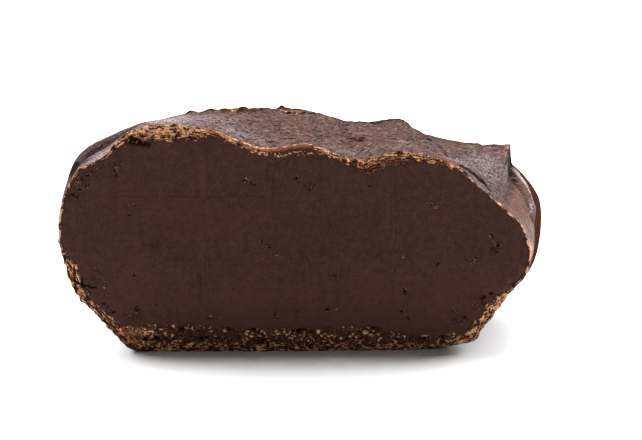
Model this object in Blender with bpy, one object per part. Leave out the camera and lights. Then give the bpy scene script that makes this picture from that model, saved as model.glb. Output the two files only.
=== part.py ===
"""A thick slice of a hand-formed loaf of chocolate fudge, standing on its base.

The loaf was poured out, folded over on itself and cut twice, so the slice has a flat cut in front and
another behind, and folded skin all the way round between them. Lengths are millimetres until the mesh is
made. x runs to the right along the front cut, y from the front cut to the back one, and z up. A place on
the skin is (u, v): u is the way round the outline, clockwise from the left foot, and v the way back from
the front cut.
"""

from collections import namedtuple

import bmesh
import bpy
import numpy as np
from mathutils import Vector, noise
from mathutils.geometry import delaunay_2d_cdt

MM = 0.001
DEPTH = 44.0

# The outline. Each landmark is (x, z) at the front cut and at the back cut, with how far the skin swells
# out half way between them. A corner is sharp, and every other landmark is passed in a smooth curve.
Landmark = namedtuple("Landmark", "name front back swell corner", defaults=(False,))
OUTLINE = (
    Landmark("left foot", (-55.0, 0.0), (-53.0, 0.0), 0.0, True),
    Landmark("left heel", (-61.0, 8.0), (-60.0, 7.0), 0.5),
    Landmark("left under", (-68.0, 17.0), (-68.0, 15.0), 1.0),
    Landmark("left belly low", (-73.7, 27.4), (-74.0, 25.0), 1.0),
    Landmark("left belly", (-76.2, 38.0), (-76.5, 35.5), 1.2),
    Landmark("left flank", (-75.0, 50.0), (-76.5, 45.0), 1.4),
    Landmark("left shoulder", (-69.5, 60.5), (-71.5, 53.5), 1.6),
    Landmark("left step", (-60.5, 65.8), (-63.0, 59.5), 1.6),
    Landmark("left crown", (-55.5, 71.5), (-56.0, 62.5), 0.5),
    Landmark("crown", (-40.0, 75.3), (-41.0, 67.4), 0.3),
    Landmark("crown end", (-29.0, 74.0), (-30.0, 68.8), 0.5),
    Landmark("saddle", (-12.0, 67.6), (-14.0, 69.7), 0.3),
    Landmark("middle", (3.0, 68.8), (2.0, 69.0), 0.3),
    Landmark("right dip", (18.0, 64.0), (17.5, 65.0), 0.3),
    Landmark("right rise", (34.0, 66.9), (34.5, 65.4), 0.3),
    Landmark("ledge", (42.0, 64.8), (39.5, 61.4), 0.3),
    Landmark("right shoulder", (50.0, 61.8), (55.0, 57.9), 0.3),
    Landmark("flap root", (56.3, 55.4), (63.5, 57.2), 0.5),
    Landmark("flap edge", (61.5, 50.8), (70.0, 57.4), 0.5, True),
    Landmark("flap foot", (63.6, 49.0), (71.0, 50.6), 0.5, True),
    Landmark("right flank", (69.0, 43.6), (78.0, 42.8), 1.6),
    Landmark("right belly", (72.8, 34.0), (81.0, 33.0), 1.6),
    Landmark("right belly low", (72.0, 27.0), (79.0, 21.5), 1.6),
    Landmark("right under", (66.0, 19.0), (70.0, 11.5), 1.0),
    Landmark("right heel", (57.0, 7.5), (60.0, 4.5), 0.5),
    Landmark("right foot", (47.0, 0.0), (50.0, 0.0), 0.0, True),
)
COUNT = len(OUTLINE)
FRONT = np.array([mark.front for mark in OUTLINE])
BACK = np.array([mark.back for mark in OUTLINE])
SWELL = np.array([[mark.swell] for mark in OUTLINE])
CORNER = np.array([mark.corner for mark in OUTLINE])
LEGS = np.linalg.norm(np.roll(FRONT, -1, axis=0) - FRONT, axis=1)
KNOTS = np.concatenate([[0.0], np.cumsum(LEGS)])
ROUND = KNOTS[-1]

# The folds of the skin. Each follows a path of (u, v), has a groove, and behind the groove a lip that
# rises, then falls away again towards the back. It fades out over so much at its start and at its end.
Fold = namedtuple("Fold", "name path groove width lip rise run ends")
LEFT_FOLD = ((60.0, 8.5), (65.0, 10.5), (71.0, 12.8), (77.0, 13.5), (84.0, 11.5), (91.0, 8.5), (98.0, 7.0))
FLAP_FOLD = ((194.0, 1.6), (198.0, 3.0), (201.5, 4.2), (205.0, 4.0), (208.5, 1.2))
RIGHT_CREASE = ((211.0, 31.0), (217.0, 25.0), (224.0, 19.0), (234.0, 13.0))
BACK_CURL = ((136.0, 40.0), (141.0, 39.0), (147.0, 40.0), (153.0, 41.5))
FOLDS = (
    Fold("left fold", LEFT_FOLD, 1.6, 1.1, 3.2, 2.4, 8.0, (14.0, 18.0)),
    Fold("flap fold", FLAP_FOLD, 1.3, 0.9, 1.3, 1.2, 9.0, (3.0, 4.0)),
    Fold("right crease", RIGHT_CREASE, 0.9, 1.6, 1.0, 4.5, 6.0, (5.0, 9.0)),
    Fold("back curl", BACK_CURL, 0.5, 0.8, 1.1, 1.2, 9.0, (4.0, 5.0)),
)

# Where the cuts aren't smooth. Along the foot the fudge broke instead of cutting: the band's top as (x, z),
# how ragged it is and over how much it drops in, how deep the hollows go and the least they do, their size
# and how much flatter they are than wide, and how far the lower edge stands back as (x, distance).
FOOT_TOP = ((-62.0, 7.0), (-45.0, 8.6), (-20.0, 8.2), (0.0, 7.4), (22.0, 7.2), (36.0, 5.6), (50.0, 4.6))
FOOT_RAGGED = 0.9
FOOT_DROP = 1.0
FOOT_HOLLOW = 1.2
FOOT_ROUGH = 1.0
FOOT_LEAST = 0.2
FOOT_GRAIN = 4.2
FOOT_FLATTER = 1.6
FOOT_SETBACK = ((-55.0, 0.6), (-30.0, 0.5), (0.0, 1.2), (20.0, 2.4), (47.0, 3.4))
SETBACK_HEIGHT = 3.0
# Chips broken off the rim of the front cut, and the worn edge of the back cut.
Chip = namedtuple("Chip", "start end width depth")
CHIPS = (
    Chip(2.0, 44.0, 3.2, 1.3),
    Chip(85.0, 113.0, 4.6, 1.8),
    Chip(158.0, 182.0, 3.8, 1.3),
    Chip(236.0, 272.0, 3.4, 1.4),
)
CHIP_ENDS = (4.0, 4.0)
CHIP_GRAIN = 3.0
CHIP_RAGGED = 0.35
BACK_WEAR_DEPTH = 0.8
BACK_WEAR_WIDTH = 2.5

# The facets. Sections stand closer together where the skin is folded, and the rows of facets from cut to
# cut are led along the folds by a guide of (u, v), with so many rows in front of it and behind it.
SPACING_ROUND = 2.7
FOLDED = ((60.0, 100.0), (193.0, 232.0))
FINE = 0.5
GUIDE = ((0.0, 14.0), (40.0, 9.0), *LEFT_FOLD, (120.0, 9.0), (180.0, 6.0), *FLAP_FOLD, (216.0, 10.0),
         (230.0, 14.0), (ROUND, 14.0))
ROWS_BEFORE = 8
ROWS_BEHIND = 17
# The facets of a cut, over its middle, near its rim and over the foot band, whose strip is so high.
SPACING_CUT = 6.0
SPACING_RIM = 3.0
SPACING_FOOT = 1.8
FOOT_STRIP = 9.5
RIM_STRIP = 6.0
RIM_GAP = 0.9

CUT_COLOUR = (0.047, 0.022, 0.017, 1.0)
CUT_ROUGHNESS = 0.62
SKIN_COLOUR = (0.120, 0.072, 0.055, 1.0)
SKIN_ROUGHNESS = 0.42
SHARP_EDGE = 40.0

NOISE_REACH = 0.62
LATTICE_ROW = 3**0.5 / 2
TANGENT_STEP = 0.3


def smooth(low, high, value):
    """0 below low, 1 above high and a smooth ramp between them."""
    part = np.clip((value - low) / (high - low), 0.0, 1.0)
    return part * part * (3.0 - 2.0 * part)


def between(low, high, ends, value):
    """1 well inside a stretch, fading to 0 over its two ends."""
    return smooth(low, low + ends[0], value) * (1.0 - smooth(high - ends[1], high, value))


def along(path, value):
    """The height of a smooth curve through a path's points, level beyond its ends."""
    places, heights = np.transpose(path)
    slopes = np.gradient(heights, places)
    value = np.clip(value, places[0], places[-1])
    here = np.clip(np.searchsorted(places, value, side="right") - 1, 0, len(places) - 2)
    leg = places[here + 1] - places[here]
    t = (value - places[here]) / leg
    return (
        (2 * t**3 - 3 * t**2 + 1) * heights[here]
        + (t**3 - 2 * t**2 + t) * leg * slopes[here]
        + (3 * t**2 - 2 * t**3) * heights[here + 1]
        + (t**3 - t**2) * leg * slopes[here + 1]
    )


def grain(x, z, size):
    """Noise from about -1 to 1 whose lumps are of one size."""
    places = np.broadcast_arrays(x, z)
    values = [noise.noise(Vector((a / size, 0.0, b / size))) for a, b in zip(places[0].flat, places[1].flat)]
    return np.array(values).reshape(places[0].shape) / NOISE_REACH


def around(values, u):
    """Values at the landmarks, carried round the closed outline as a curve that keeps the corners."""
    u = np.mod(u, ROUND)
    here = np.clip(np.searchsorted(KNOTS, u, side="right") - 1, 0, COUNT - 1)
    before, after, beyond = (here - 1) % COUNT, (here + 1) % COUNT, (here + 2) % COUNT
    leg_before, leg, leg_after = (LEGS[i][..., None] for i in (before, here, after))
    slope_before = (values[here] - values[before]) / leg_before
    slope = (values[after] - values[here]) / leg
    slope_after = (values[beyond] - values[after]) / leg_after
    leave = (slope_before * leg + slope * leg_before) / (leg_before + leg)
    arrive = (slope * leg_after + slope_after * leg) / (leg + leg_after)
    leave = np.where(CORNER[here][..., None], slope, leave)
    arrive = np.where(CORNER[after][..., None], slope, arrive)
    t = (u - KNOTS[here])[..., None] / leg
    return (
        (2 * t**3 - 3 * t**2 + 1) * values[here]
        + (t**3 - 2 * t**2 + t) * leg * leave
        + (3 * t**2 - 2 * t**3) * values[after]
        + (t**3 - t**2) * leg * arrive
    )


def fold_relief(fold, u, v):
    """How far one fold lifts the skin, groove and lip together."""
    behind = v - along(fold.path, u)
    falling = np.exp(-np.clip(behind - fold.rise, 0.0, None) / fold.run)
    lip = fold.lip * smooth(0.0, fold.rise, behind) * falling
    groove = fold.groove * np.exp(-((behind / fold.width) ** 2))
    return (lip - groove) * between(fold.path[0][0], fold.path[-1][0], fold.ends, u)


def chip_depth(u, inside):
    """How deep the rim of the front cut is chipped, at a distance inside the outline."""
    deepest = np.zeros(np.broadcast(u, inside).shape)
    for chip in CHIPS:
        ragged = chip.width * (1.0 + CHIP_RAGGED * grain(u, 0.0, CHIP_GRAIN))
        here = between(chip.start, chip.end, CHIP_ENDS, u) * (1.0 - smooth(ragged / 3, ragged, inside))
        rough = 1.0 - CHIP_RAGGED + CHIP_RAGGED * grain(u, inside, CHIP_GRAIN)
        deepest = np.maximum(deepest, chip.depth * here * rough)
    return deepest


def foot_depth(x, z):
    """How deep the broken band along the foot lies behind the cut."""
    top = along(FOOT_TOP, x) + FOOT_RAGGED * grain(x, 0.0, FOOT_GRAIN)
    hollow = np.maximum(FOOT_HOLLOW + FOOT_ROUGH * grain(x, FOOT_FLATTER * z, FOOT_GRAIN), FOOT_LEAST)
    setback = along(FOOT_SETBACK, x) * (1.0 - smooth(0.0, SETBACK_HEIGHT, z))
    return hollow * (1.0 - smooth(top - FOOT_DROP, top, z)) + setback


def front_depth(x, z, u, inside):
    """How far behind the front cut's plane its surface lies."""
    return np.maximum(foot_depth(x, z), chip_depth(u, inside))


def back_depth(x, z, u, inside):
    """How far before the back cut's plane its surface lies: a worn edge, and no more."""
    rough = 1.0 - CHIP_RAGGED + CHIP_RAGGED * grain(x, z, FOOT_GRAIN)
    return BACK_WEAR_DEPTH * (1.0 - smooth(0.0, BACK_WEAR_WIDTH, inside)) * rough


def section(u, v):
    """The plain outline at v, as (x, z), before it swells or folds."""
    back_share = (v / DEPTH)[..., None]
    return around(FRONT, u) * (1.0 - back_share) + around(BACK, u) * back_share


def skin(u, v):
    """Points of the skin. v runs from 0 on the front rim to DEPTH on the back rim."""
    onward = section(u + TANGENT_STEP, v) - section(u - TANGENT_STEP, v)
    onward /= np.linalg.norm(onward, axis=-1, keepdims=True)
    outward = np.stack([-onward[..., 1], onward[..., 0]], axis=-1)
    back_share = v / DEPTH
    lift = around(SWELL, u)[..., 0] * 4.0 * back_share * (1.0 - back_share)
    lift = lift + sum(fold_relief(fold, u, v) for fold in FOLDS)
    x, z = np.moveaxis(section(u, v) + outward * lift[..., None], -1, 0)
    on_rim = np.zeros_like(u)
    front_y = -DEPTH / 2 + front_depth(x, z, u, on_rim)
    back_y = DEPTH / 2 - back_depth(x, z, u, on_rim)
    return np.stack([x, front_y * (1.0 - back_share) + back_y * back_share, z], axis=-1)


def graded(start, end):
    """Stations from one corner up to the next, closer together where the skin is folded."""
    stations = [start]
    while stations[-1] < end:
        here = stations[-1]
        folded = any(low <= here < high for low, high in FOLDED)
        stations.append(here + SPACING_ROUND * (FINE if folded else 1.0))
    stations = np.array(stations)
    return start + (stations - start) * (end - start) / (stations[-1] - start)


def stations_round():
    """Stations round the outline, with one on each corner landmark."""
    corners = [KNOTS[i] for i in range(COUNT) if CORNER[i]] + [ROUND]
    return np.concatenate([graded(a, b)[:-1] for a, b in zip(corners, corners[1:])])


def rows_back(u):
    """Rows from the front rim to the back rim, crowded at both rims and on each side of the guide."""
    guide = along(GUIDE, u)
    before = 0.5 - 0.5 * np.cos(np.linspace(0.0, np.pi, ROWS_BEFORE + 1))
    behind = 0.5 - 0.5 * np.cos(np.linspace(0.0, np.pi, ROWS_BEHIND + 1))
    return np.concatenate([np.outer(before, guide), guide + np.outer(behind[1:], DEPTH - guide)])


def nearest_on_rim(points, rim, stations):
    """For points of a cut: how far inside the rim each lies, and the u of the nearest place on it."""
    sides = np.roll(rim, -1, axis=0) - rim
    from_start = points[:, None] - rim[None]
    share = np.clip((from_start * sides).sum(-1) / (sides * sides).sum(-1), 0.0, 1.0)
    gaps = np.linalg.norm(from_start - share[..., None] * sides, axis=-1)
    nearest = gaps.argmin(axis=1)
    rows = np.arange(len(points))
    legs = np.diff(np.append(stations, ROUND))
    return gaps[rows, nearest], stations[nearest] + share[rows, nearest] * legs[nearest]


def inside_rim(points, rim):
    """Which points the closed rim goes round."""
    x, z = points[:, :1], points[:, 1:]
    start, end = rim, np.roll(rim, -1, axis=0)
    crosses = (start[:, 1] > z) != (end[:, 1] > z)
    rise = np.where(end[:, 1] == start[:, 1], 1.0, end[:, 1] - start[:, 1])
    crossing = start[:, 0] + (z - start[:, 1]) / rise * (end[:, 0] - start[:, 0])
    return (crosses & (x < crossing)).sum(axis=1) % 2 == 1


def lattice(spacing, low, high):
    """Points of a triangular lattice over a rectangle."""
    heights = np.arange(low[1], high[1], spacing * LATTICE_ROW)
    places = np.arange(low[0], high[0], spacing)
    return np.array([(x + spacing / 2 * (row % 2), z) for row, z in enumerate(heights) for x in places])


def cut_points(rim, stations, foot_spacing):
    """Points inside a cut: close together over the foot band and near the rim, and wide apart elsewhere."""
    low, high = rim.min(axis=0), rim.max(axis=0)
    foot = lattice(foot_spacing, low + RIM_GAP, (high[0], FOOT_STRIP))
    near = lattice(SPACING_RIM, (low[0], FOOT_STRIP + RIM_GAP), high)
    near = near[nearest_on_rim(near, rim, stations)[0] < RIM_STRIP]
    middle = lattice(SPACING_CUT, (low[0], FOOT_STRIP + SPACING_RIM), high)
    middle = middle[nearest_on_rim(middle, rim, stations)[0] > RIM_STRIP + RIM_GAP]
    points = np.concatenate([foot, near, middle])
    points = points[inside_rim(points, rim)]
    return points[nearest_on_rim(points, rim, stations)[0] > RIM_GAP]


def add_cut(mesh, corners, stations, depth, foot_spacing, facing):
    """One cut face inside its rim of finished corners. facing is -1 for the front cut and 1 for the back."""
    rim = np.array([(corner.co.x, corner.co.z) for corner in corners])
    inner = cut_points(rim, stations, foot_spacing)
    inside, u = nearest_on_rim(inner, rim, stations)
    y = facing * (DEPTH / 2 - depth(inner[:, 0], inner[:, 1], u, inside))
    flat = [Vector(point) for point in np.concatenate([rim, inner])]
    loop = list(range(len(rim)))
    _, _, faces, kept, _, _ = delaunay_2d_cdt(flat, [], [loop], 1, 1e-5)
    inner_corners = [mesh.verts.new((x, deep, z)) for (x, z), deep in zip(inner, y)]
    every_corner = list(corners) + inner_corners
    chosen = [every_corner[sources[0]] for sources in kept]
    for face in faces:
        ring = [chosen[i] for i in face]
        mesh.faces.new(ring if facing < 0 else ring[::-1]).material_index = 0


def loaf_slice():
    """The slice as one closed mesh: the skin as a loft from cut to cut, then the two cuts."""
    stations = stations_round()
    points = skin(*np.broadcast_arrays(stations[None, :], rows_back(stations)))
    mesh = bmesh.new()
    rings = [[mesh.verts.new(point) for point in ring] for ring in points]
    around_again = list(range(1, len(stations))) + [0]
    for near, far in zip(rings, rings[1:]):
        for i, j in enumerate(around_again):
            mesh.faces.new((near[i], far[i], far[j], near[j])).material_index = 1
    add_cut(mesh, rings[0], stations, front_depth, SPACING_FOOT, -1)
    add_cut(mesh, rings[-1], stations, back_depth, SPACING_RIM, 1)
    bmesh.ops.triangulate(mesh, faces=[face for face in mesh.faces if len(face.verts) > 3])
    bmesh.ops.recalc_face_normals(mesh, faces=mesh.faces)
    return mesh


def centre(mesh):
    """Puts the origin under the middle of the slice, on the floor, and turns millimetres into metres."""
    places = np.array([corner.co for corner in mesh.verts])
    middle = (places.min(axis=0) + places.max(axis=0)) / 2
    bmesh.ops.translate(mesh, verts=mesh.verts, vec=(-middle[0], -middle[1], 0.0))
    bmesh.ops.scale(mesh, verts=mesh.verts, vec=(MM, MM, MM))


def finish(name, colour, roughness):
    """A plain material for one surface of the slice."""
    material = bpy.data.materials.new(name)
    material.use_nodes = True
    shader = material.node_tree.nodes["Principled BSDF"]
    shader.inputs["Base Color"].default_value = colour
    shader.inputs["Roughness"].default_value = roughness
    shader.inputs["Metallic"].default_value = 0.0
    material.diffuse_color = colour
    return material


def main():
    for old in list(bpy.data.objects):
        bpy.data.objects.remove(old, do_unlink=True)
    collection = bpy.data.collections.new("chocolate_fudge")
    bpy.context.scene.collection.children.link(collection)
    mesh = loaf_slice()
    centre(mesh)
    data = bpy.data.meshes.new("fudge")
    mesh.to_mesh(data)
    mesh.free()
    data.materials.append(finish("cut fudge", CUT_COLOUR, CUT_ROUGHNESS))
    data.materials.append(finish("fudge skin", SKIN_COLOUR, SKIN_ROUGHNESS))
    data.shade_smooth()
    data.set_sharp_from_angle(angle=np.radians(SHARP_EDGE))
    collection.objects.link(bpy.data.objects.new("fudge", data))


main()
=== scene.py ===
"""The looks of a thick slice of chocolate fudge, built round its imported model.

The slice is made again as one fine mesh from the same named outline and folds as the model, and loose
crumbs are scattered on it. Lengths are millimetres until a mesh is made. x runs to the right along the
front cut, y from the front cut to the back one, and z up. A place on the skin is (u, v): u is the way round
the outline, clockwise from the left foot, and v the way back from the front cut.
"""

import math
from collections import namedtuple

import bpy
import numpy as np
from bpy.props import FloatProperty, FloatVectorProperty, IntProperty, PointerProperty
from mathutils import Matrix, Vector, kdtree, noise
from mathutils.geometry import delaunay_2d_cdt


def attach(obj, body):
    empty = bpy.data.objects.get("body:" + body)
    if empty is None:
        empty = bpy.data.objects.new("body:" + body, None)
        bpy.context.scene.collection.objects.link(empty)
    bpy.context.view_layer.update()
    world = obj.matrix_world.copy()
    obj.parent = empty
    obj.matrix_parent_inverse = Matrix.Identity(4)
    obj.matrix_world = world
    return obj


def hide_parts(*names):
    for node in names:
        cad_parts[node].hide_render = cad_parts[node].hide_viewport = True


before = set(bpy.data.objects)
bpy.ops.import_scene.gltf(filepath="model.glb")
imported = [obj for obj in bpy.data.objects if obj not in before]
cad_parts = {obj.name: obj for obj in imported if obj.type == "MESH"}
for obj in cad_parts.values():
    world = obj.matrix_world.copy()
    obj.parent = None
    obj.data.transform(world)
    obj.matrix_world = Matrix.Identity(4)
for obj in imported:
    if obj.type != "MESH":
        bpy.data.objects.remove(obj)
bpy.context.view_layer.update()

bl_info = {
    "name": "Chocolate fudge slice",
    "version": (1, 0, 0),
    "blender": (4, 5, 0),
    "location": "View3D > Sidebar > Fudge",
    "description": "Makes a slice of chocolate fudge, its crumbs and a plain stage",
    "category": "Object",
}

MM = 0.001
DEPTH = 44.0
# From the outline's own x to the row's, whose middle is half way between the two bellies.
SIDEWAYS = -1.5687

# The outline, as in the model: (x, z) at the front cut and at the back cut, and how far the skin swells
# out half way between them. A corner is sharp.
Landmark = namedtuple("Landmark", "name front back swell corner", defaults=(False,))
OUTLINE = (
    Landmark("left foot", (-55.0, 0.0), (-53.0, 0.0), 0.0, True),
    Landmark("left heel", (-61.0, 8.0), (-60.0, 7.0), 0.5),
    Landmark("left under", (-68.0, 17.0), (-68.0, 15.0), 1.0),
    Landmark("left belly low", (-73.7, 27.4), (-74.0, 25.0), 1.0),
    Landmark("left belly", (-76.2, 38.0), (-76.5, 35.5), 1.2),
    Landmark("left flank", (-75.0, 50.0), (-76.5, 45.0), 1.4),
    Landmark("left shoulder", (-69.5, 60.5), (-71.5, 53.5), 1.6),
    Landmark("left step", (-60.5, 65.8), (-63.0, 59.5), 1.6),
    Landmark("left crown", (-55.5, 71.5), (-56.0, 62.5), 0.5),
    Landmark("crown", (-40.0, 75.3), (-41.0, 67.4), 0.3),
    Landmark("crown end", (-29.0, 74.0), (-30.0, 68.8), 0.5),
    Landmark("saddle", (-12.0, 67.6), (-14.0, 69.7), 0.3),
    Landmark("middle", (3.0, 68.8), (2.0, 69.0), 0.3),
    Landmark("right dip", (18.0, 64.0), (17.5, 65.0), 0.3),
    Landmark("right rise", (34.0, 66.9), (34.5, 65.4), 0.3),
    Landmark("ledge", (42.0, 64.8), (39.5, 61.4), 0.3),
    Landmark("right shoulder", (50.0, 61.8), (55.0, 57.9), 0.3),
    Landmark("flap root", (56.3, 55.4), (63.5, 57.2), 0.5),
    Landmark("flap edge", (61.5, 50.8), (70.0, 57.4), 0.5, True),
    Landmark("flap foot", (63.6, 49.0), (71.0, 50.6), 0.5, True),
    Landmark("right flank", (69.0, 43.6), (78.0, 42.8), 1.6),
    Landmark("right belly", (72.8, 34.0), (81.0, 33.0), 1.6),
    Landmark("right belly low", (72.0, 27.0), (79.0, 21.5), 1.6),
    Landmark("right under", (66.0, 19.0), (70.0, 11.5), 1.0),
    Landmark("right heel", (57.0, 7.5), (60.0, 4.5), 0.5),
    Landmark("right foot", (47.0, 0.0), (50.0, 0.0), 0.0, True),
)
COUNT = len(OUTLINE)
FRONT = np.array([mark.front for mark in OUTLINE])
BACK = np.array([mark.back for mark in OUTLINE])
SWELL = np.array([[mark.swell] for mark in OUTLINE])
CORNER = np.array([mark.corner for mark in OUTLINE])
LEGS = np.linalg.norm(np.roll(FRONT, -1, axis=0) - FRONT, axis=1)
KNOTS = np.concatenate([[0.0], np.cumsum(LEGS)])
ROUND = KNOTS[-1]
RIGHT_FOOT = KNOTS[-2]
FLAP_EDGE = KNOTS[18]
FLAP_FOOT = KNOTS[19]

# The folds, as in the model, each a path of (u, v) with a groove and a lip behind it. Here the lip also
# leans forward over its groove. The other paths are of finish alone: the red band of the right side, the
# crack behind the curl and a scratch, as (v, u), that runs backwards.
Fold = namedtuple("Fold", "name path groove width lip rise run ends lean")
LEFT_FOLD = (
    (58.0, 4.0), (64.0, 4.6), (66.5, 6.8), (69.3, 10.4), (72.5, 13.0), (78.0, 13.8), (84.0, 12.6),
    (91.0, 10.0), (98.0, 8.0),
)
FLAP_FOLD = ((194.0, 2.6), (198.0, 4.0), (202.0, 5.8), (205.0, 5.6), (209.5, 3.0))
RIGHT_CREASE = ((211.5, 30.0), (214.5, 28.0), (218.0, 24.4), (220.8, 19.0), (224.1, 14.0), (227.0, 10.0))
RED_BAND = (
    (211.5, 43.5), (214.1, 43.0), (216.6, 40.5), (219.1, 36.0), (221.0, 28.5), (222.6, 21.5), (225.0, 16.5),
    (228.0, 11.0), (232.0, 7.0), (236.0, 4.5), (245.0, 4.0), (262.0, 5.0),
)
BACK_CURL = ((136.0, 40.0), (141.0, 39.0), (147.0, 40.0), (153.0, 41.5))
CURL_CRACK = ((137.5, 40.9), (139.5, 40.3), (144.0, 39.7), (149.5, 39.2))
FOLD_SEAM = tuple((u, v + 3.1) for u, v in LEFT_FOLD)
SCRATCH_BACKWARDS = ((12.0, 191.0), (20.0, 190.2), (30.0, 189.0), (40.0, 187.2), (44.0, 186.6))
FOLDS = (
    Fold("left fold", LEFT_FOLD, 1.8, 0.4, 2.7, 3.2, 8.5, (16.0, 22.0), 0.3),
    Fold("fold seam", FOLD_SEAM, 0.55, 0.45, 0.0, 1.0, 1.0, (9.0, 18.0), 0.0),
    Fold("flap fold", FLAP_FOLD, 1.2, 0.3, 0.5, 0.6, 9.0, (2.0, 5.0), 0.5),
    Fold("right crease", RIGHT_CREASE, 0.8, 1.3, 1.4, 3.4, 5.0, (2.5, 4.0), 0.0),
    Fold("back curl", BACK_CURL, 0.4, 0.4, 0.3, 0.8, 9.0, (4.0, 5.0), 0.4),
)
LEFT, SEAM, FLAP, CREASE, CURL = FOLDS
# Lumps and dents of the skin, as (u, v, how long along u, how long along v, how high).
LUMPS = (
    (106.5, 44.0, 3.0, 5.0, 0.9), (112.5, 44.0, 5.0, 6.0, 0.7), (119.0, 44.0, 5.0, 6.0, 0.5),
    (125.0, 44.0, 6.0, 6.0, 0.6), (131.0, 44.0, 5.0, 6.0, 0.5), (138.5, 44.0, 2.0, 5.0, 1.1),
    (122.0, 38.5, 18.0, 4.0, -0.5), (145.0, 37.5, 12.0, 3.0, -0.3), (164.0, 44.0, 5.0, 6.0, 0.4),
    (172.0, 44.0, 7.0, 6.0, 0.2), (185.5, 44.0, 2.5, 7.0, 0.7), (198.0, 44.0, 3.0, 6.0, 0.4),
    (162.0, 33.0, 2.0, 3.0, 0.35), (159.5, 24.5, 3.0, 3.0, -0.5), (163.0, 22.5, 3.0, 2.5, -0.5),
    (191.9, 13.2, 1.6, 2.2, 0.7), (193.2, 16.0, 1.8, 2.2, -0.5), (210.3, 30.0, 3.0, 40.0, 0.6),
    (213.2, 38.0, 2.6, 14.0, -0.8), (219.0, 10.0, 1.6, 2.4, 0.3), (215.5, 16.0, 1.4, 2.4, 0.3),
    (266.5, 2.0, 6.0, 14.0, 2.0), (95.0, 13.0, 15.0, 18.0, 1.3), (26.0, 2.0, 10.0, 16.0, 1.1),
)
# Where the skin is paler and greyer, smoothly or not, from bloom and from painted sheen and highlights, and
# where it is thin, dark and red, as (u, v, half along u, half along v, how strong).
SMOOTH_BLOOM = ((55.0, 6.0, 14.0, 9.0, 1.0), (76.0, 5.0, 9.0, 6.0, 1.8), (205.0, 2.4, 8.0, 2.8, 1.0))
BLOOM_AND_SHEEN = (
    *SMOOTH_BLOOM,
    (98.0, 18.0, 11.0, 14.0, 2.3), (112.0, 20.0, 10.0, 12.0, 0.7), (123.0, 9.0, 9.0, 8.0, 0.7),
    (204.0, 18.0, 7.0, 13.0, 1.15), (198.0, 9.0, 6.0, 5.0, 1.05), (178.0, 8.0, 10.0, 5.0, 0.3),
    (157.0, 7.0, 8.0, 5.0, 0.4),
)
RUDDY = (
    (120.0, 44.0, 16.0, 5.0, 1.0), (141.0, 43.0, 5.0, 1.8, 0.8), (105.0, 44.0, 4.0, 3.5, 0.9),
    (174.0, 44.0, 15.0, 4.0, 0.8), (196.0, 44.0, 8.0, 2.0, 0.7), (162.0, 23.5, 5.0, 2.2, 0.7),
    (212.8, 40.0, 1.1, 8.0, 1.0),
)
# Where deep shade is painted dark on the skin, and where it has cracked open, in the same terms.
SHADED = (
    (65.8, 7.4, 1.5, 2.2, 1.8), (67.6, 9.8, 1.6, 2.2, 1.9), (70.5, 8.2, 3.0, 2.2, 0.9),
    (49.0, 7.0, 6.0, 1.0, 0.4),
)
CRACKED = (
    (121.5, 41.2, 9.0, 1.5, 1.3), (109.0, 42.2, 4.0, 1.2, 1.0), (219.6, 31.0, 1.6, 4.0, 0.7),
    (174.0, 42.0, 6.0, 0.8, 0.6),
)
# Where the knife has dragged the front cut into fine upright lines, and where it has smeared it darker, as
# (x, z, half across, half up, how strong).
DRAGGED = (
    (-31.0, 58.0, 3.0, 14.0, 0.8), (-31.5, 28.0, 3.0, 12.0, 1.0), (-8.5, 60.0, 3.0, 6.0, 1.0),
    (-42.0, 13.0, 4.5, 3.0, 1.0), (27.0, 46.0, 6.0, 14.0, 0.6), (45.0, 36.0, 5.0, 10.0, 0.5),
    (-57.0, 53.0, 5.0, 8.0, 0.5), (4.0, 22.0, 7.0, 8.0, 0.5),
)
SMEARS = (
    (-46.0, 36.5, 3.0, 0.8, 0.6), (-46.0, 33.0, 2.0, 0.5, 0.5), (-40.0, 42.0, 5.0, 0.6, 0.3),
    (-52.0, 47.5, 1.2, 0.4, 0.8), (-24.0, 45.0, 4.0, 0.5, 0.3), (16.0, 47.0, 3.0, 0.5, 0.3),
)
# Holes in the front cut, as (x, z, how wide).
HOLES = (
    (-17.0, 58.0, 1.4), (-15.0, 57.0, 0.8), (-14.0, 56.5, 0.8), (-1.0, 58.5, 1.4), (0.0, 57.0, 1.0),
    (2.0, 56.5, 1.1), (3.0, 55.0, 1.0), (4.0, 56.0, 1.3), (-58.0, 61.5, 1.0), (-57.5, 59.5, 0.9),
    (-66.5, 59.5, 1.1), (-68.5, 58.0, 1.2), (-67.0, 56.0, 1.1), (-69.0, 55.0, 1.2), (-72.0, 53.0, 1.8),
    (-70.5, 52.5, 1.6), (-65.0, 61.0, 0.9), (-52.0, 49.5, 1.0), (41.5, 50.5, 0.9), (43.0, 49.0, 1.1),
    (22.0, 56.0, 0.8), (60.5, 39.5, 1.1), (63.0, 36.5, 1.5), (61.0, 35.0, 1.0), (62.5, 34.0, 1.1),
    (55.5, 32.0, 1.4), (54.5, 30.0, 0.9), (43.5, 30.0, 1.2), (49.5, 14.5, 1.0), (53.0, 12.0, 1.2),
    (58.5, 18.5, 1.5), (61.0, 20.0, 1.2), (-52.5, 14.5, 1.6), (-46.0, 16.0, 1.0), (-63.0, 16.5, 1.2),
    (-61.5, 15.0, 1.3), (-60.0, 13.5, 1.1), (-54.0, 46.5, 1.0), (-53.0, 26.5, 1.0), (-10.0, 36.0, 1.2),
    (-12.5, 37.5, 0.8), (-7.5, 33.0, 1.0), (32.5, 32.0, 0.9), (35.0, 30.5, 0.8), (30.5, 28.0, 0.9),
    (33.5, 21.0, 1.2), (11.0, 26.5, 0.9), (8.5, 14.5, 1.2), (11.5, 14.5, 0.9), (32.5, 14.0, 1.0),
    (34.5, 11.5, 0.9), (-8.0, 13.0, 1.0), (-8.0, 11.5, 1.0), (-1.0, 13.5, 1.0),
)
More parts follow.
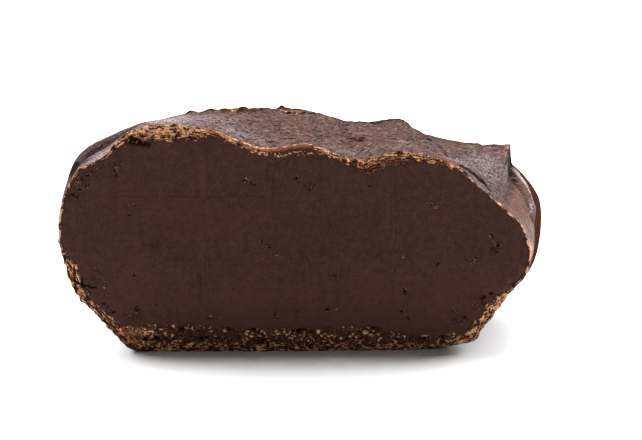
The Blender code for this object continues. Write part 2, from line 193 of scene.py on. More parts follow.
# Where the broken rim is darker, and where it is finer and more even, as (u, how far inside, half along,
# half across, how strong).
CHIP_SHADE = ((99.0, 0.4, 6.0, 1.1, 0.24),)
EVEN = ((171.0, 2.6, 8.5, 2.8, 0.8),)
# Where the front cut is reddish, and where it is speckled with pores and crumbs, as (x, z, half across,
# half up, how strong).
REDDENED = (
    (-36.0, 46.0, 22.0, 8.0, 0.6), (-53.5, 52.0, 5.0, 8.0, 0.8), (-66.5, 30.4, 0.8, 1.8, 1.2),
    (-61.7, 25.3, 1.2, 2.2, 1.2), (-7.4, 29.4, 3.0, 1.0, 1.0), (16.1, 42.5, 1.4, 1.6, 1.0),
)
SPECKLED = (
    (-69.5, 57.0, 2.6, 4.0, 1.0), (-66.0, 60.0, 3.0, 2.0, 0.9), (-58.0, 63.0, 5.0, 1.8, 0.9),
    (-62.0, 61.5, 4.0, 2.0, 0.8), (61.5, 36.0, 2.6, 3.0, 0.9), (55.5, 31.3, 3.6, 1.6, 0.9),
    (57.0, 17.0, 4.0, 4.5, 0.9), (51.0, 11.0, 5.0, 3.5, 0.9), (-54.0, 12.0, 5.0, 4.0, 0.9),
    (-66.5, 24.0, 2.6, 4.0, 0.8), (-28.0, 12.0, 4.0, 2.5, 0.9), (1.5, 56.5, 4.0, 1.8, 0.8),
    (-46.0, 36.5, 5.0, 2.6, 0.8), (33.5, 20.5, 2.4, 1.6, 0.8), (33.5, 12.8, 2.4, 1.6, 0.8),
    (-45.0, 11.5, 3.0, 2.0, 0.7),
)
# Short broken strips of the skin behind the front rim, as (u, v, half along u, half along v, how strong).
STRIPS = (
    (50.0, 0.6, 8.0, 1.3, 0.9), (232.0, 2.0, 4.0, 2.2, 0.9), (213.0, 1.2, 1.6, 1.2, 0.8), (224.0, 1.0, 2.4, 1.0, 0.8),
)
# Lines in the front cut, each a path of points (x, z) with how wide, deep, dark and crumbly it is. The dark of
# the crack and the scratch is painted shade.
Line = namedtuple("Line", "path width depth dark crumbly")
CRACK = ((-72.9, 24.4), (-71.0, 23.3), (-70.0, 23.6), (-69.0, 22.6), (-67.9, 22.9), (-66.6, 22.0), (-65.4, 22.1))
CRUMB_TRAIL = ((-67.0, 29.1), (-64.8, 28.4), (-63.1, 26.0), (-62.5, 23.1), (-63.0, 17.9))
SCRATCH = ((-5.0, 65.0), (-6.6, 63.9), (-7.8, 61.9), (-8.4, 58.0), (-8.5, 52.7))
KNIFE_STOP = ((-60.0, 52.5), (-47.0, 52.9), (-30.0, 52.6), (-12.0, 52.8))
LINES = (
    Line(CRACK, width=0.26, depth=1.2, dark=0.9, crumbly=0.0),
    Line(CRUMB_TRAIL, width=0.35, depth=0.05, dark=0.0, crumbly=1.2),
    Line(SCRATCH, width=0.3, depth=0.18, dark=0.8, crumbly=0.0),
    Line(KNIFE_STOP, width=0.3, depth=0.05, dark=0.6, crumbly=0.3),
)
# Hollows of the foot and under the left chips, sunk in and painted dark with their shade, as (x, z, how wide,
# how high), and chips of the foot, which add how pale.
HOLLOWS = (
    (-46.6, 4.5, 2.6, 1.6), (-23.2, 7.7, 1.6, 1.4), (-31.1, 4.3, 5.0, 1.4), (-15.0, 7.6, 1.8, 1.0),
    (-12.4, 3.4, 4.2, 1.8), (-1.1, 7.0, 5.5, 1.6), (3.4, 6.5, 1.6, 1.6), (19.7, 3.8, 4.0, 1.6),
    (23.7, 8.2, 3.6, 0.7), (40.5, 4.3, 3.8, 1.5), (45.4, 4.7, 2.8, 1.5), (-37.8, 7.6, 2.2, 1.2),
    (-19.5, 5.1, 1.6, 1.0), (15.0, 4.1, 1.4, 0.9), (30.8, 5.1, 2.0, 1.2), (-42.7, 3.8, 2.4, 1.0),
    (-50.2, 4.1, 2.2, 1.2), (-51.8, 70.6, 5.2, 2.0), (-48.6, 69.8, 3.4, 1.5),
)
CHUNKS = (
    (-43.6, 6.1, 1.3, 1.1, 0.8), (-41.2, 5.7, 1.0, 1.5, 0.75), (-24.4, 7.2, 1.4, 1.8, 0.7),
    (-27.5, 5.5, 1.3, 1.2, 0.65), (-35.4, 1.8, 4.2, 1.5, 0.55), (-30.5, 1.8, 2.6, 1.4, 0.5),
    (-43.1, 0.9, 4.8, 1.0, 0.65), (-12.7, 0.9, 3.4, 1.3, 0.75), (5.5, 6.9, 1.5, 1.8, 0.85),
    (6.9, 5.3, 1.1, 1.0, 0.75), (4.4, 3.9, 1.0, 0.8, 0.7), (7.6, 3.7, 1.2, 0.8, 0.75),
    (13.1, 4.7, 1.4, 1.2, 0.8), (11.4, 6.7, 0.9, 0.7, 0.7), (14.5, 6.7, 0.9, 0.7, 0.7),
    (20.9, 6.7, 2.0, 1.7, 0.85), (23.0, 5.6, 2.2, 1.3, 0.85), (23.5, 7.2, 0.9, 0.6, 0.8),
    (33.5, 5.1, 1.0, 1.1, 0.75), (27.9, 1.1, 5.4, 0.6, 0.95), (45.3, 1.5, 3.8, 0.6, 0.9),
    (49.6, 6.1, 1.2, 0.9, 0.8), (54.3, 6.2, 2.4, 1.6, 0.75), (-1.2, 1.2, 3.0, 0.7, 0.7),
    (-46.8, 9.2, 1.0, 0.8, 0.8), (-47.9, 5.1, 1.0, 0.9, 0.8), (-43.9, 3.1, 0.9, 0.8, 0.75),
    (-36.2, 8.1, 2.4, 1.4, 0.5), (-16.9, 5.8, 1.0, 0.8, 0.6), (-6.0, 2.7, 1.4, 0.8, 0.6),
    (-8.6, 3.4, 1.0, 0.8, 0.7), (39.8, 5.5, 3.0, 0.6, 0.55),
)

# The foot of the front cut and the chips in its rim, as in the model.
FOOT_TOP = (
    (-62.0, 8.0), (-48.0, 9.8), (-32.0, 9.4), (-22.0, 8.4), (0.0, 8.3), (26.0, 8.2), (33.0, 6.6),
    (45.0, 6.0), (53.0, 6.5),
)
FOOT_RAGGED = 0.9
FOOT_GRAIN = 4.2
# How far back the foot stands, as (x, how far), and up to what height.
FOOT_SETBACK = ((-55.0, 0.0), (-30.0, 0.0), (0.0, 0.2), (20.0, 0.8), (36.0, 1.4), (47.0, 2.8))
SETBACK_HEIGHT = 3.0
# How high the painted contact shade goes along the foot, where the slice meets what it stands on.
CONTACT_SHADE = 0.4
# How far the two feet are rounded off under the lowest stretch of the sides.
TUCK_LEFT, TUCK_RIGHT = 2.0, 1.8
TUCK_HEIGHT = 1.7
Chip = namedtuple("Chip", "start end width depth")
CHIPS = (
    Chip(2.0, 44.0, 3.2, 1.3),
    Chip(85.0, 113.0, 4.6, 1.8),
    Chip(158.0, 182.0, 3.8, 1.3),
    Chip(236.0, 272.0, 3.4, 1.4),
)
CHIP_ENDS = (4.0, 4.0)
CHIP_GRAIN = 3.0
CHIP_RAGGED = 0.35

# The front rim, as (u, how far crumbs reach on to the cut, how high its burr stands, how pale it is).
RIM = (
    (0.0, 3.0, 0.4, 0.3), (10.0, 3.4, 0.8, 0.32), (15.0, 3.4, 1.0, 0.35), (22.0, 2.8, 1.1, 0.34),
    (25.0, 4.0, 1.0, 0.33), (33.0, 4.0, 1.1, 0.33), (37.0, 3.0, 0.6, 0.34), (40.0, 0.8, 0.5, 0.45),
    (42.0, 0.5, 1.0, 0.55), (45.0, 0.8, 0.4, 0.88), (54.0, 0.8, 0.4, 0.88), (57.0, 1.2, 0.6, 0.6),
    (60.0, 0.5, 0.4, 0.48), (67.0, 0.6, 0.5, 0.5), (69.5, 1.1, 1.1, 0.65), (72.0, 0.6, 0.5, 0.48),
    (81.0, 0.9, 0.6, 0.48), (85.0, 2.8, 0.6, 0.5), (89.0, 2.1, 0.6, 0.64), (92.0, 3.4, 0.5, 0.7),
    (95.0, 5.2, 0.5, 0.72), (103.0, 5.2, 0.5, 0.7), (111.0, 3.8, 0.5, 0.48), (114.0, 1.8, 0.8, 0.52),
    (118.0, 1.3, 0.9, 0.58), (127.0, 1.4, 0.7, 0.56), (132.0, 0.7, 0.6, 0.5), (146.0, 0.7, 0.7, 0.5),
    (149.0, 2.0, 0.8, 0.56), (158.0, 1.8, 0.9, 0.54), (161.0, 2.8, 0.5, 0.42), (168.0, 4.4, 0.4, 0.4),
    (178.0, 4.0, 0.5, 0.42), (183.0, 2.2, 0.8, 0.5), (192.0, 1.7, 0.6, 0.5), (196.0, 1.2, 0.4, 0.48),
    (201.0, 0.35, 0.2, 0.55), (208.0, 0.4, 0.5, 0.5), (212.0, 0.25, 0.15, 0.55), (221.0, 0.4, 0.5, 0.55),
    (226.0, 0.25, 0.15, 0.55), (233.0, 0.4, 0.4, 0.6), (240.0, 0.7, 0.5, 0.45), (247.0, 1.4, 0.5, 0.4),
    (250.0, 2.8, 0.6, 0.46), (255.0, 4.4, 0.9, 0.55), (262.0, 3.6, 0.9, 0.5), (270.0, 3.2, 0.7, 0.42),
    (276.0, 2.8, 0.4, 0.3),
)
RIM_U, RIM_REACH, RIM_BURR, RIM_PALE = np.transpose(RIM)
# The smooth lip that rolls over the rim: from u to u, how wide it is as (u, width), and how deep it rolls.
ROLL = (110.0, 149.0)
ROLL_WIDTH = ((110.0, 0.7), (131.0, 0.75), (138.0, 1.7), (149.0, 2.0))
ROLL_DEPTH = 1.3


def hump(off, wide):
    """1 in the middle, falling away to 0 on both sides."""
    return np.exp(-((off / wide) ** 2))


def smooth(low, high, value):
    """0 below low, 1 above high and a smooth ramp between them."""
    part = np.clip((value - low) / (high - low), 0.0, 1.0)
    return part * part * (3.0 - 2.0 * part)


def between(low, high, ends, value):
    """1 well inside a stretch, fading to 0 over its two ends."""
    return smooth(low, low + ends[0], value) * (1.0 - smooth(high - ends[1], high, value))


def hermite(t, leg, start, leave, end, arrive):
    """A smooth curve over one leg, from the value and the slope at each end."""
    return (
        (2 * t**3 - 3 * t**2 + 1) * start
        + (t**3 - 2 * t**2 + t) * leg * leave
        + (3 * t**2 - 2 * t**3) * end
        + (t**3 - t**2) * leg * arrive
    )


def along(path, value):
    """The height of a smooth curve through a path's points, level beyond its ends."""
    places, heights = np.transpose(path)
    slopes = np.gradient(heights, places)
    value = np.clip(value, places[0], places[-1])
    here = np.clip(np.searchsorted(places, value, side="right") - 1, 0, len(places) - 2)
    leg = places[here + 1] - places[here]
    t = (value - places[here]) / leg
    return hermite(t, leg, heights[here], slopes[here], heights[here + 1], slopes[here + 1])


def at_rim(values, u):
    """One of the front rim's values, read between its places."""
    return np.interp(u, RIM_U, values)


def grain(x, z, size, layer=0.0):
    """Noise from about -1 to 1 whose lumps are of one size. Another layer is another pattern."""
    places = np.broadcast_arrays(x, z)
    values = [noise.noise((a / size, layer, b / size)) for a, b in zip(places[0].flat, places[1].flat)]
    return np.array(values).reshape(places[0].shape) / 0.62


def patches(table, u, v):
    """The strongest of some soft round patches at a place."""
    found = np.zeros(np.broadcast(u, v).shape)
    for across, back, half_u, half_v, strong in table:
        off = ((u - across) / half_u) ** 2 + ((v - back) / half_v) ** 2
        found = np.maximum(found, strong * np.exp(-off))
    return found


def around(values, u):
    """Values at the landmarks, carried round the closed outline as a curve that keeps the corners."""
    u = np.mod(u, ROUND)
    here = np.clip(np.searchsorted(KNOTS, u, side="right") - 1, 0, COUNT - 1)
    before, after, beyond = (here - 1) % COUNT, (here + 1) % COUNT, (here + 2) % COUNT
    leg_before, leg, leg_after = (LEGS[i][..., None] for i in (before, here, after))
    slope_before = (values[here] - values[before]) / leg_before
    slope = (values[after] - values[here]) / leg
    slope_after = (values[beyond] - values[after]) / leg_after
    leave = (slope_before * leg + slope * leg_before) / (leg_before + leg)
    arrive = (slope * leg_after + slope_after * leg) / (leg + leg_after)
    leave = np.where(CORNER[here][..., None], slope, leave)
    arrive = np.where(CORNER[after][..., None], slope, arrive)
    t = (u - KNOTS[here])[..., None] / leg
    return hermite(t, leg, values[here], leave, values[after], arrive)


def fold_relief(fold, u, v):
    """How far one fold lifts the skin, and how far it pulls it forward."""
    behind = v - along(fold.path, u)
    falling = np.exp(-np.clip(behind - fold.rise, 0.0, None) / fold.run)
    lip = fold.lip * smooth(0.0, fold.rise, behind) * falling
    groove = fold.groove * hump(behind, fold.width)
    here = between(fold.path[0][0], fold.path[-1][0], fold.ends, u)
    lean = fold.lean * hump(behind - 0.8 * fold.rise, 0.5 * fold.rise)
    return (lip - groove) * here, lean * here


def wrinkles(u, v):
    """The fine uneven wrinkles of the dried skin."""
    drift = 3.0 * grain(u, v, 16.0, 3.0)
    broad = 1.0 - 2.2 * np.abs(grain(u / 1.4, v + drift, 3.4, 1.0))
    narrow = 1.0 - 2.2 * np.abs(grain(u / 1.4, v + drift, 1.8, 2.0))
    on_top = between(84.0, 214.0, (12.0, 10.0), u)
    return (0.24 * broad + 0.12 * narrow) * (0.15 + 0.85 * on_top)


def lumps(u, v):
    """The single lumps and dents of the skin, and the ragged edge along the back."""
    lift = sum(
        high * np.exp(-(((u - across) / (0.5 * long)) ** 2 + ((v - back) / (0.5 * deep)) ** 2))
        for across, back, long, deep, high in LUMPS
    )
    crusty = 0.14 + 0.36 * hump(u - 122.0, 9.0)
    ragged = crusty * grain(u, v, 2.9, 22.0) * between(96.0, 214.0, (10.0, 6.0), u)
    return lift + ragged * smooth(40.5, 43.0, v)


def in_groove(fold, u, v):
    """0 to 1: how deep in a fold's groove a place is."""
    behind = v - along(fold.path, u)
    here = between(fold.path[0][0], fold.path[-1][0], (1.0, 0.6 * fold.ends[1]), u)
    return hump(behind - 0.15 - 0.2 * fold.width, 0.24 + 0.4 * fold.width) * here


def striped(u, v):
    """0 to 1: the front of the left fold's lip, and its pale stripes, which are partly its own and partly painted
    light that lifts the lip out of its shade.
    """
    behind = v - along(LEFT_FOLD, u)
    lip = between(0.3, 12.0, (0.6, 5.0), behind) * between(57.0, 97.0, (4.0, 8.0), u)
    waver = behind + 0.35 * grain(u, 0.0, 6.0, 57.0)
    near, far = (hump(waver - middle, 0.4) for middle in (1.5, 3.1))
    return lip, lip * np.maximum.reduce([0.6 * near, 0.9 * far, smooth(4.6, 5.6, waver)])


def front_rim(u, v):
    """The burr along the front rim as it shows on the skin."""
    uneven = 0.8 + 0.45 * grain(u, 0.0, 2.4, 5.0) + 0.25 * grain(u, v, 0.9, 6.0)
    return at_rim(RIM_BURR, u) * uneven * (1.0 - smooth(0.2, 1.7, v))


def off_path(path, x, z):
    """How far a place is from a path of points."""
    best = np.full(np.shape(x), 99.0)
    for (ax, az), (bx, bz) in zip(path, path[1:]):
        run = np.hypot(bx - ax, bz - az)
        share = np.clip(((x - ax) * (bx - ax) + (z - az) * (bz - az)) / run**2, 0.0, 1.0)
        best = np.minimum(best, np.hypot(x - ax - share * (bx - ax), z - az - share * (bz - az)))
    return best


def holes(x, z):
    """How deep the holes go into the front cut, and 0 to 1: how near a hole a place is."""
    uneven = 0.45 * grain(x, z, 0.8, 41.0)
    deep, near = np.zeros(np.shape(x)), np.zeros(np.shape(x))
    for across, high, wide in HOLES:
        tall = 0.7 + 0.5 * (0.5 + 0.5 * math.sin(7.0 * across))
        off = np.hypot(x - across, (z - high) / tall) / (0.5 * wide)
        deep = np.maximum(deep, 0.6 * wide * (1.0 - smooth(0.3, 1.0, off + uneven)))
        near = np.maximum(near, 1.0 - smooth(0.6, 3.2, off))
    return deep, near


def lines(x, z):
    """How deep the lines go into the front cut, and 0 to 1: how dark and how crumbly they are."""
    deep, dark, crumbly = np.zeros((3, *np.shape(x)))
    uneven = 0.35 * grain(x, z, 0.8, 41.0)
    for line in LINES:
        here = 1.0 - smooth(0.2, 1.2, off_path(line.path, x, z) / line.width + uneven)
        deep = np.maximum(deep, line.depth * here)
        dark = np.maximum(dark, line.dark * here)
        crumbly = np.maximum(crumbly, line.crumbly * here)
    return deep, dark, crumbly


def blobs(table, x, z):
    """0 to 1: how far inside the nearest of some uneven blobs a place is, and that blob's last value."""
    uneven = 0.5 * grain(x, z, 0.9, 42.0)
    inner = np.zeros(np.shape(x))
    value = np.zeros(np.shape(x))
    for across, high, wide, tall, *rest in table:
        off = np.hypot((x - across) / (0.5 * wide), (z - high) / (0.5 * tall)) + uneven
        here = 1.0 - smooth(0.5, 1.1, off)
        value = np.where(here > inner, rest[0] if rest else 0.0, value)
        inner = np.maximum(inner, here)
    return inner, value


def foot_band(x, z):
    """1 on the broken band along the foot of the front cut."""
    ragged = FOOT_RAGGED * grain(x, 0.0, FOOT_GRAIN) + 0.6 * grain(x, 0.0, 1.3, 2.0)
    top = along(FOOT_TOP, x) + ragged
    return 1.0 - smooth(top - 0.9, top + 0.1, z)


def rim_crumbs(x, z, u, inside):
    """0 to 1: how broken the front cut is along its rim."""
    ragged = at_rim(RIM_REACH, u) * (1.0 + 0.3 * grain(x, z, 2.6, 7.0) + 0.2 * grain(x, z, 1.1, 8.0))
    rim = 1.0 - smooth(0.5 * ragged, 1.25 * ragged + 0.2, inside)
    return np.maximum(rim * (1.0 - rolled_over(u, inside)), hanging(x, z, u, inside))


def hanging(x, z, u, inside):
    """0 to 1: where crumbs hang under the rolled lip."""
    here = hump(inside - along(ROLL_WIDTH, u) - 0.5, 0.9) * between(*ROLL, (22.0, 2.0), u)
    return here * smooth(-0.4, 0.2, grain(x, z, 1.0, 9.0))


def rolled_over(u, inside):
    """0 to 1: where the skin rolls over the rim of the front cut as a smooth lip."""
    width = along(ROLL_WIDTH, u)
    return between(*ROLL, (6.0, 3.0), u) * (1.0 - smooth(width - 0.4, width + 0.1, inside))


def flakes(x, z, u, inside):
    """0 to 1: gaps, sunk in and painted dark with their shade, and pale flakes, drawn out along the rim."""
    strand = grain(u / 4.0, inside, 0.7, 31.0)
    lump = grain(x, z, 1.4, 33.0)
    return np.clip(0.5 + 0.38 * strand + 0.3 * lump, 0.0, 1.0)


def chip_depth(u, inside):
    """How deep the rim of the front cut is chipped, at a distance inside the outline."""
    deepest = np.zeros(np.broadcast(u, inside).shape)
    for chip in CHIPS:
        ragged = chip.width * (1.0 + CHIP_RAGGED * grain(u, 0.0, CHIP_GRAIN))
        here = between(chip.start, chip.end, CHIP_ENDS, u) * (1.0 - smooth(ragged / 3, ragged, inside))
        rough = 1.0 - CHIP_RAGGED + CHIP_RAGGED * grain(u, inside, CHIP_GRAIN)
        deepest = np.maximum(deepest, chip.depth * here * rough)
    return deepest


def front_depth(x, z, u, inside):
    """How far behind the front cut's plane its surface lies."""
    rim, foot = rim_crumbs(x, z, u, inside), foot_band(x, z)
    flake = flakes(x, z, u, inside)
    setback = along(FOOT_SETBACK, x) * (1.0 - smooth(0.0, SETBACK_HEIGHT, z))
    hollow, _ = blobs(HOLLOWS, x, z)
    chunk, _ = blobs(CHUNKS, x, z)
    pitted = 0.5 + 0.5 * grain(x, z, 1.7, 10.0) + 0.35 * grain(x, z, 0.8, 11.0)
    foot_relief = foot * (0.35 + 0.4 * pitted) + 2.2 * hollow - 0.8 * chunk
    foot_relief = foot_relief * (0.15 + 0.85 * smooth(0.3, 2.2, z))
    rough = np.clip(0.2 + 0.12 * at_rim(RIM_REACH, u), 0.25, 0.7)
    depth = np.maximum(setback + foot_relief, chip_depth(u, inside)) + rim * rough * (0.6 - flake)
    share = np.clip(inside / along(ROLL_WIDTH, u), 0.0, 1.0)
    rolled = ROLL_DEPTH * (1.0 - share) ** 2 * between(*ROLL, (20.0, 3.0), u)
    burr = np.where(u < RIGHT_FOOT, at_rim(RIM_BURR, u), 0.0)
    burr = burr * (0.6 + 0.4 * grain(u, 0.0, 2.2, 5.0)) * (1.0 - smooth(0.0, 1.1, inside))
    flat = 0.05 * grain(x, z, 3.0, 13.0) + 0.03 * grain(x, z, 1.4, 12.0)
    return depth + rolled - 0.6 * burr + flat + holes(x, z)[0] + lines(x, z)[0]


def back_depth(x, z, u, inside):
    """How far before the back cut's plane its surface lies."""
    worn = 0.8 * (1.0 - smooth(0.0, 2.5, inside)) * (0.65 + 0.35 * grain(x, z, FOOT_GRAIN))
    return worn + 0.06 * grain(x, z, 3.0, 13.0) + 0.03 * grain(x, z, 1.4, 14.0)


def section(u, v):
    """The plain outline at v, as (x, z), before it swells or folds."""
    back_share = (v / DEPTH)[..., None]
    return around(FRONT, u) * (1.0 - back_share) + around(BACK, u) * back_share


def skin(u, v):
    """Points of the skin. v runs from 0 on the front rim to DEPTH on the back rim."""
    onward = section(u + 0.3, v) - section(u - 0.3, v)
    onward /= np.linalg.norm(onward, axis=-1, keepdims=True)
    outward = np.stack([-onward[..., 1], onward[..., 0]], axis=-1)
    back_share = v / DEPTH
    lift = around(SWELL, u)[..., 0] * 4.0 * back_share * (1.0 - back_share)
    lean = np.zeros_like(lift)
    for fold in FOLDS:
        fold_lift, fold_lean = fold_relief(fold, u, v)
        lift = lift + fold_lift
        lean = lean + fold_lean
    standing = smooth(0.0, 8.0, u) * (1.0 - smooth(RIGHT_FOOT - 8.0, RIGHT_FOOT, u))
    smooth_here = 1.0 - 0.8 * patches(SMOOTH_BLOOM, u, v)
    relief = wrinkles(u, v) * smooth(0.0, 2.0, v) * smooth_here + front_rim(u, v) + lumps(u, v)
    lift = lift + relief * standing
    x, z = np.moveaxis(section(u, v) + outward * lift[..., None], -1, 0)
    x = x - np.where(x > 0.0, TUCK_RIGHT, -TUCK_LEFT) * (1.0 - smooth(0.0, TUCK_HEIGHT, z))
    z = np.maximum(z, 0.0)
    no_gap = np.zeros(u.shape[1])
    front = front_depth(x[0], z[0], u[0], no_gap)
    back = back_depth(x[-1], z[-1], u[-1], no_gap)
    y = -DEPTH / 2 + v + front * (1.0 - smooth(0.0, 9.5, v)) - back * smooth(DEPTH - 6.0, DEPTH, v)
    return np.stack([x, y - lean, z], axis=-1)


def stations(spacing):
    """Stations from the left foot round to the right foot, with one on each corner."""
    corners = [0.0, FLAP_EDGE, FLAP_FOOT, RIGHT_FOOT]
    counts = [max(2, round((b - a) / spacing)) for a, b in zip(corners, corners[1:])]
    legs = [np.linspace(a, b, n, endpoint=False) for a, b, n in zip(corners, corners[1:], counts)]
    return np.concatenate([*legs, [RIGHT_FOOT]])


def rows_back(u, before_count, behind_count):
    """Rows from the front rim to the back rim, closer together at the rims and on each side of the folds."""
    before_folds, between_folds = ((0.0, 14.0), (40.0, 9.0)), ((120.0, 9.0), (180.0, 6.0))
    after_folds = ((216.0, 10.0), (230.0, 14.0), (ROUND, 14.0))
    guide = along((*before_folds, *LEFT_FOLD, *between_folds, *FLAP_FOLD, *after_folds), u)

    def shares(count):
        even = np.linspace(0.0, 1.0, count + 1)
        return 0.45 * even + 0.55 * (0.5 - 0.5 * np.cos(np.pi * even))

    before, behind = shares(before_count), shares(behind_count)
    return np.concatenate([np.outer(before, guide), guide + np.outer(behind[1:], DEPTH - guide)])


def lattice(spacing, low, high):
    """Points of a triangular lattice over a rectangle, nudged off their rows."""
    heights = np.arange(low[1], high[1], spacing * 0.866)
    places = np.arange(low[0], high[0], spacing)
    points = np.array([(x + spacing / 2 * (row % 2), z) for row, z in enumerate(heights) for x in places])
    nudges = np.random.default_rng(7).uniform(-0.18, 0.18, points.shape)
    return points + spacing * nudges


def inside_rim(points, rim):
    """Which points the closed rim goes round."""
    start, end = rim, np.roll(rim, -1, axis=0)
    rise = np.where(end[:, 1] == start[:, 1], 1.0, end[:, 1] - start[:, 1])
    found = []
    for block in np.array_split(points, max(1, len(points) // 4000)):
        x, z = block[:, :1], block[:, 1:]
        crosses = (start[:, 1] > z) != (end[:, 1] > z)
        crossing = start[:, 0] + (z - start[:, 1]) / rise * (end[:, 0] - start[:, 0])
        found.append((crosses & (x < crossing)).sum(axis=1) % 2 == 1)
    return np.concatenate(found)


def tree_of(points):
    """A tree that finds the nearest of these flat points."""
    tree = kdtree.KDTree(len(points))
    for i, (x, z) in enumerate(points):
        tree.insert((x, z, 0.0), i)
    tree.balance()
    return tree


def nearest(points, rim_tree):
    """How far each flat point is from the rim, and which point of the rim is nearest."""
    found = [rim_tree.find((x, z, 0.0)) for x, z in points]
    return np.array([gap for _, _, gap in found]), np.array([i for _, i, _ in found])


def with_holes(points):
    """The points of the front cut with rings of closer ones in each hole and along each line."""
    rings = []
    for across, high, wide in HOLES:
        middle = np.array([across, high])
        points = points[np.linalg.norm(points - middle, axis=1) > 0.8 * wide]
        rings.append([middle])
        for share, count in ((0.2, 5), (0.36, 8), (0.52, 11), (0.7, 13)):
            turns = np.linspace(0.0, 2.0 * np.pi, count, endpoint=False) + 5.0 * share
            rings.append(middle + share * wide * np.stack([np.cos(turns), np.sin(turns)], axis=-1))
    for line in LINES:
        off = off_path(line.path, points[:, 0], points[:, 1])
        points = points[off > 1.1]
        close = lattice(0.24, np.min(line.path, axis=0) - 1.0, np.max(line.path, axis=0) + 1.0)
        rings.append(close[off_path(line.path, close[:, 0], close[:, 1]) < 1.0])
    return np.concatenate([points, *rings])


def filling(rim, zones):
    """Points inside a rim. Each zone is (spacing, least gap, most gap, least z, most z) from the rim."""
    rim_tree = tree_of(rim)
    low, high = rim.min(axis=0), rim.max(axis=0)
    kept = []
    for spacing, least, most, bottom, top in zones:
        points = lattice(spacing, low, high)
        points = points[(points[:, 1] >= bottom) & (points[:, 1] < top)]
        points = points[inside_rim(points, rim)]
        gaps, _ = nearest(points, rim_tree)
        kept.append(points[(gaps >= least) & (gaps < most)])
    return np.concatenate(kept)


class Body:
    """A mesh in the making: points, triangles and what is known of each point."""

    def __init__(self):
        self.points, self.faces, self.kinds, self.marks = [], [], [], []

    def add(self, points, marks):
        first = sum(len(block) for block in self.points)
        self.points.append(np.asarray(points, float))
        self.marks.append(np.asarray(marks, float))
        return np.arange(first, first + len(points))

    def face(self, faces, kind):
        self.faces.extend(faces)
        self.kinds.extend([kind] * len(faces))


def fill(body, rim, rim_flat, inner, inner_flat, kind, turn):
    """Triangles over a flat outline and the points inside it."""
    flat = [Vector(point) for point in np.concatenate([rim_flat, inner_flat])]
    _, _, faces, sources, _, _ = delaunay_2d_cdt(flat, [], [list(range(len(rim_flat)))], 1, 1e-5)
    every = np.concatenate([rim, inner])
    chosen = [every[source[0]] for source in sources]
    body.face([[chosen[i] for i in (face[::-1] if turn else face)] for face in faces], kind)


# What the finishes know of each point: how broken it is and how tan its crumbs are, how many loose crumbs lie
# there, where glints of sheen are painted on, how thin and red it is, how much shade is painted dark on it, how
# bloomed it is and where sheen and highlights are painted pale on it, where it is (way, deep), and how even its
# crumbs are. On the cuts, the sheen mark is how dragged the cut is, the shade mark also holds the knife's smears
# and dark lines, and the bloom mark is where the skin rolls over its rim, whose lip is painted paler along its top.
MARKS = ("broken", "tan", "loose", "shine", "ruddy", "worn", "bloom", "way", "deep", "even")
CUT, SKIN, THIN_SKIN = 0, 1, 2
# How ruddy a face of thin skin is, at least.
THIN_FROM = 0.4


def cut_marks(x, z, u, inside):
    """What the finish needs to know of places on the front cut."""
    rim, foot = rim_crumbs(x, z, u, inside), foot_band(x, z)
    flake = flakes(x, z, u, inside)
    hollow, _ = blobs(HOLLOWS, x, z)
    chunk, pallor = blobs(CHUNKS, x, z)
    pit, near_hole = holes(x, z)
    _, dark_line, crumbly_line = lines(x, z)
    rolled = rolled_over(u, inside)
    left_end = 1.0 - smooth(-50.0, -44.0, x)

    pale = at_rim(RIM_PALE, u) + 0.14 * grain(u, 0.0, 3.0, 56.0)
    inward = np.clip(inside / at_rim(RIM_REACH, u), 0.0, 1.0)
    tan = pale * (1.25 - 0.8 * inward) + 0.45 * (flake - 0.5)
    tan = np.maximum(tan - patches(CHIP_SHADE, u, inside), 0.6 * hanging(x, z, u, inside))
    tan = np.maximum(tan, 0.48 * patches(EVEN, u, inside))

    speck = smooth(0.3, 0.5, grain(x, z, 0.8, 44.0)) * smooth(-0.2, 0.3, grain(x, z, 4.0, 51.0))
    foot_tan = 0.35 + 0.04 * smooth(15.0, 40.0, x) + 0.1 * left_end
    foot_tan = foot_tan + 0.14 * grain(x, z, 2.6, 45.0) + 0.46 * speck
    foot_broken = np.clip(0.34 + 0.5 * speck + 0.2 * left_end, 0.0, 1.0)
    # Painted contact shade: the lowest strip of the foot is made darkest.
    foot_tan, foot_broken = np.where(z < CONTACT_SHADE, -0.4, foot_tan), np.where(z < CONTACT_SHADE, 1.0, foot_broken)
    tan = np.where(foot > rim, foot_tan, tan)
    # Hollows painted dark with their shade; chips made paler.
    tan = (tan * (1.0 - hollow)) * (1.0 - chunk) + chunk * (1.1 * pallor + 0.2 * grain(x, z, 0.7, 46.0))

    near = np.maximum.reduce([near_hole, patches(SPECKLED, x, z), crumbly_line])
    solid = np.maximum.reduce([rim, foot * foot_broken, hollow, chunk])
    tan = np.where(solid > 0.6 * near, tan, 0.26 + 0.25 * grain(x, z, 1.2, 58.0))
    # Holes painted dark with their shade.
    tan = tan * (1.0 - smooth(0.15, 0.5, pit))
    broken = np.maximum.reduce([solid, 0.42 * near, smooth(0.1, 0.4, pit)]) * (1.0 - rolled)
    loose = rim * smooth(0.45, 0.7, flake) * smooth(1.2, 2.0, z) * (1.0 - rolled)
    dragged = 0.7 * patches(DRAGGED, x, z)
    # Darker: the knife's smears, and the dark of the lines, which in the crack and the scratch is painted shade.
    worn = np.maximum(patches(SMEARS, x, z), dark_line)
    even = np.maximum.reduce([
        0.8 * between(*ROLL, (6.0, 6.0), u) * (1.0 - smooth(0.8, 1.6, inside)),
        patches(EVEN, u, inside),
        0.7 * left_end * foot,
    ])
    return np.stack([broken, tan, loose, dragged, patches(REDDENED, x, z), worn, rolled, u, inside, even], axis=-1)


